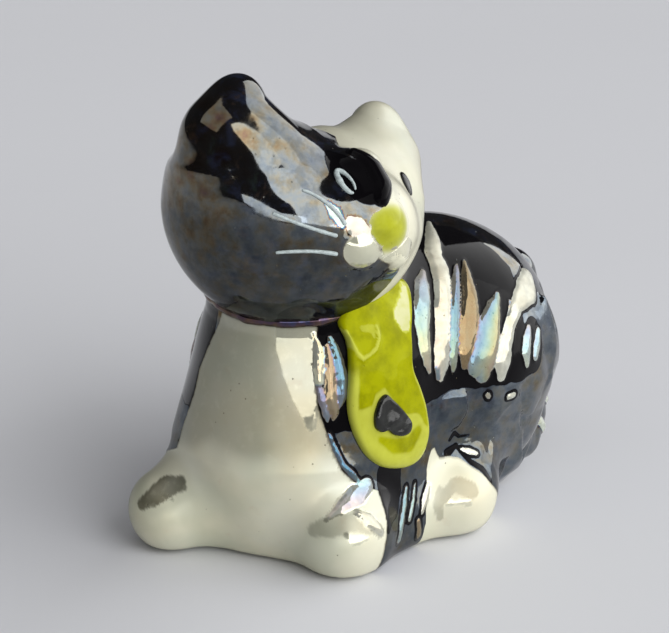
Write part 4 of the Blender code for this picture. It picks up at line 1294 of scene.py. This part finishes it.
class BuildFace(bpy.types.Operator):
    """Paints the eyes and the whiskers in raised enamel"""

    bl_idname = "figurine.face"
    bl_label = "Eyes and whiskers"

    def execute(self, context):
        sizes = settings().sizes
        for name, corners in WHISKERS.items():
            start, bend, end = point(corners)
            t = np.linspace(0.0, 1.0, 24)[:, None]
            middle = 2.0 * bend - 0.5 * (start + end)
            path = (1 - t) ** 2 * start + 2 * t * (1 - t) * middle + t**2 * end
            self.stroke(name, path, sizes.whisker_radius * (1.0 - 0.25 * t[:, 0]))
        first, *_, last = EYE_RING_SWELL[0]
        turns = np.linspace(math.radians(first), math.radians(last), 48)
        ring = np.stack([EYE_RING_NARROWING * np.cos(turns), np.sin(turns)], axis=1)
        swell = np.interp(np.degrees(turns), *EYE_RING_SWELL)
        self.stroke("eye_ring", point(EYE_RING_PLACE) + sizes.ring_radius * ring, swell)
        self.spot()
        return {"FINISHED"}

    def stroke(self, name, path, radii):
        """One raised stroke along points of the face, a little uneven."""
        base, normals = face_places(path)
        radii = radii * (1.0 + 0.08 * ripple(base, 0.9, len(name)))
        mesh = tube(name, base + STROKE_LIFT * normals, normals, radii)
        dressed(mesh, name, white_enamel(), [name])

    def spot(self):
        """The oval of the left eye."""
        turns = 2.0 * math.pi * np.arange(48) / 48
        outline = 0.5 * point(EYE_SPOT_SIZE) * np.stack([np.cos(turns), np.sin(turns)], axis=1)
        axes = head_axes()
        mesh = plate("eye_spot", head_form(), on_head(EYE_SPOT_PLACE), axes[:, 0], axes[:, 1], outline,
                     EYE_SPOT_PROFILE, sink=0.2)
        dressed(mesh, "eye_spot", black_enamel(), ["eye_spot"])


class BuildStage(bpy.types.Operator):
    """Sets the pale floor, the soft lights and the camera"""

    bl_idname = "figurine.stage"
    bl_label = "Studio"

    def execute(self, context):
        studio = settings().studio
        self.floor(studio)
        for k, (bearing, share) in enumerate(WINDOW_PANES):
            self.lamp("window_%d" % k, share * studio.window, bearing, *WINDOW_PLACE)
        self.lamp("sill", studio.sill, *SILL_PLACE)
        self.lamp("ceiling", studio.ceiling, *CEILING_PLACE, aim_height=AIM_HEIGHT)
        world = bpy.data.worlds.new("room")
        world.use_nodes = True
        shade = studio.room
        world.node_tree.nodes["Background"].inputs["Color"].default_value = (shade, shade, 1.1 * shade, 1.0)
        context.scene.world = world
        context.scene.view_settings.view_transform = "Standard"
        self.camera(studio)
        return {"FINISHED"}

    def floor(self, studio):
        """A wide pale floor."""
        work = bmesh.new()
        bmesh.ops.create_grid(work, x_segments=8, y_segments=8, size=6.0)
        mesh = bpy.data.meshes.new("floor")
        work.to_mesh(mesh)
        work.free()
        nodes = Nodes("pale_table")
        tone = nodes.noise(60.0, 3.0, 0.5)
        pale = paint(studio.floor)
        dusk = tuple(0.96 * c for c in pale[:3]) + (1.0,)
        nodes.feed("Base Color", nodes.mix(tone, pale, dusk))
        nodes.feed("Roughness", 0.7)
        nodes.feed("Specular IOR Level", 0.2)
        mesh.materials.append(nodes.material)
        floor = bpy.data.objects.new("floor", mesh)
        bpy.context.scene.collection.objects.link(floor)

    def lamp(self, name, brightness, bearing, distance, size, height, aim_height=None):
        """A soft rectangular light of this brightness, level unless it has a height to aim at."""
        data = bpy.data.lights.new(name, "AREA")
        data.shape = "RECTANGLE"
        data.size, data.size_y = size
        data.energy = brightness * math.pi * size[0] * size[1]
        lamp = bpy.data.objects.new(name, data)
        bpy.context.scene.collection.objects.link(lamp)
        turn = math.radians(bearing)
        lamp.location = (distance * math.sin(turn), -distance * math.cos(turn), height)
        aim = Vector((0.0, 0.0, height if aim_height is None else aim_height))
        lamp.rotation_euler = (aim - lamp.location).to_track_quat("-Z", "Y").to_euler()

    def camera(self, studio):
        """The camera at the photograph's angle."""
        data = bpy.data.cameras.new("camera")
        camera = bpy.data.objects.new("camera", data)
        bpy.context.scene.collection.objects.link(camera)
        a, e = studio.azimuth, studio.elevation
        back = Vector((math.sin(a) * math.cos(e), -math.cos(a) * math.cos(e), math.sin(e)))
        right = Vector((math.cos(a), math.sin(a), 0.0))
        aim = Vector(FRAME_SHIFT * MM) + Vector((0.0, 0.0, AIM_HEIGHT))
        aim += AIM_RIGHT * right + AIM_UP * back.cross(right)
        camera.location = aim + studio.distance * back
        camera.rotation_euler = (-back).to_track_quat("-Z", "Y").to_euler()
        data.sensor_width = SENSOR_WIDTH
        data.lens = PIXELS_PER_MM * SENSOR_WIDTH * studio.distance / (PHOTO_WIDTH * MM)
        data.clip_start, data.clip_end = 0.01, 20.0
        bpy.context.scene.camera = camera


class FigurinePanel(bpy.types.Panel):
    """The figurine's steps in the sidebar"""

    bl_idname = "VIEW3D_PT_figurine"
    bl_label = "Figurine"
    bl_space_type = "VIEW_3D"
    bl_region_type = "UI"
    bl_category = "Figurine"

    def draw(self, context):
        for operator in OPERATORS:
            self.layout.operator(operator.bl_idname)


OPERATORS = (BuildTrunk, BuildHead, BuildCollar, BuildMuzzle, BuildNecktie, BuildFace, BuildStage)
CLASSES = (FigurineSizes, FigurineColours, FigurineStudio, FigurineSettings, *OPERATORS, FigurinePanel)


def register():
    for cls in CLASSES:
        bpy.utils.register_class(cls)
    bpy.types.Scene.figurine = PointerProperty(type=FigurineSettings)


def unregister():
    del bpy.types.Scene.figurine
    for cls in reversed(CLASSES):
        bpy.utils.unregister_class(cls)


def main():
    """Builds every piece in order."""
    register()
    for operator in OPERATORS:
        group, name = operator.bl_idname.split(".")
        getattr(getattr(bpy.ops, group), name)()


if __name__ == "__main__":
    main()
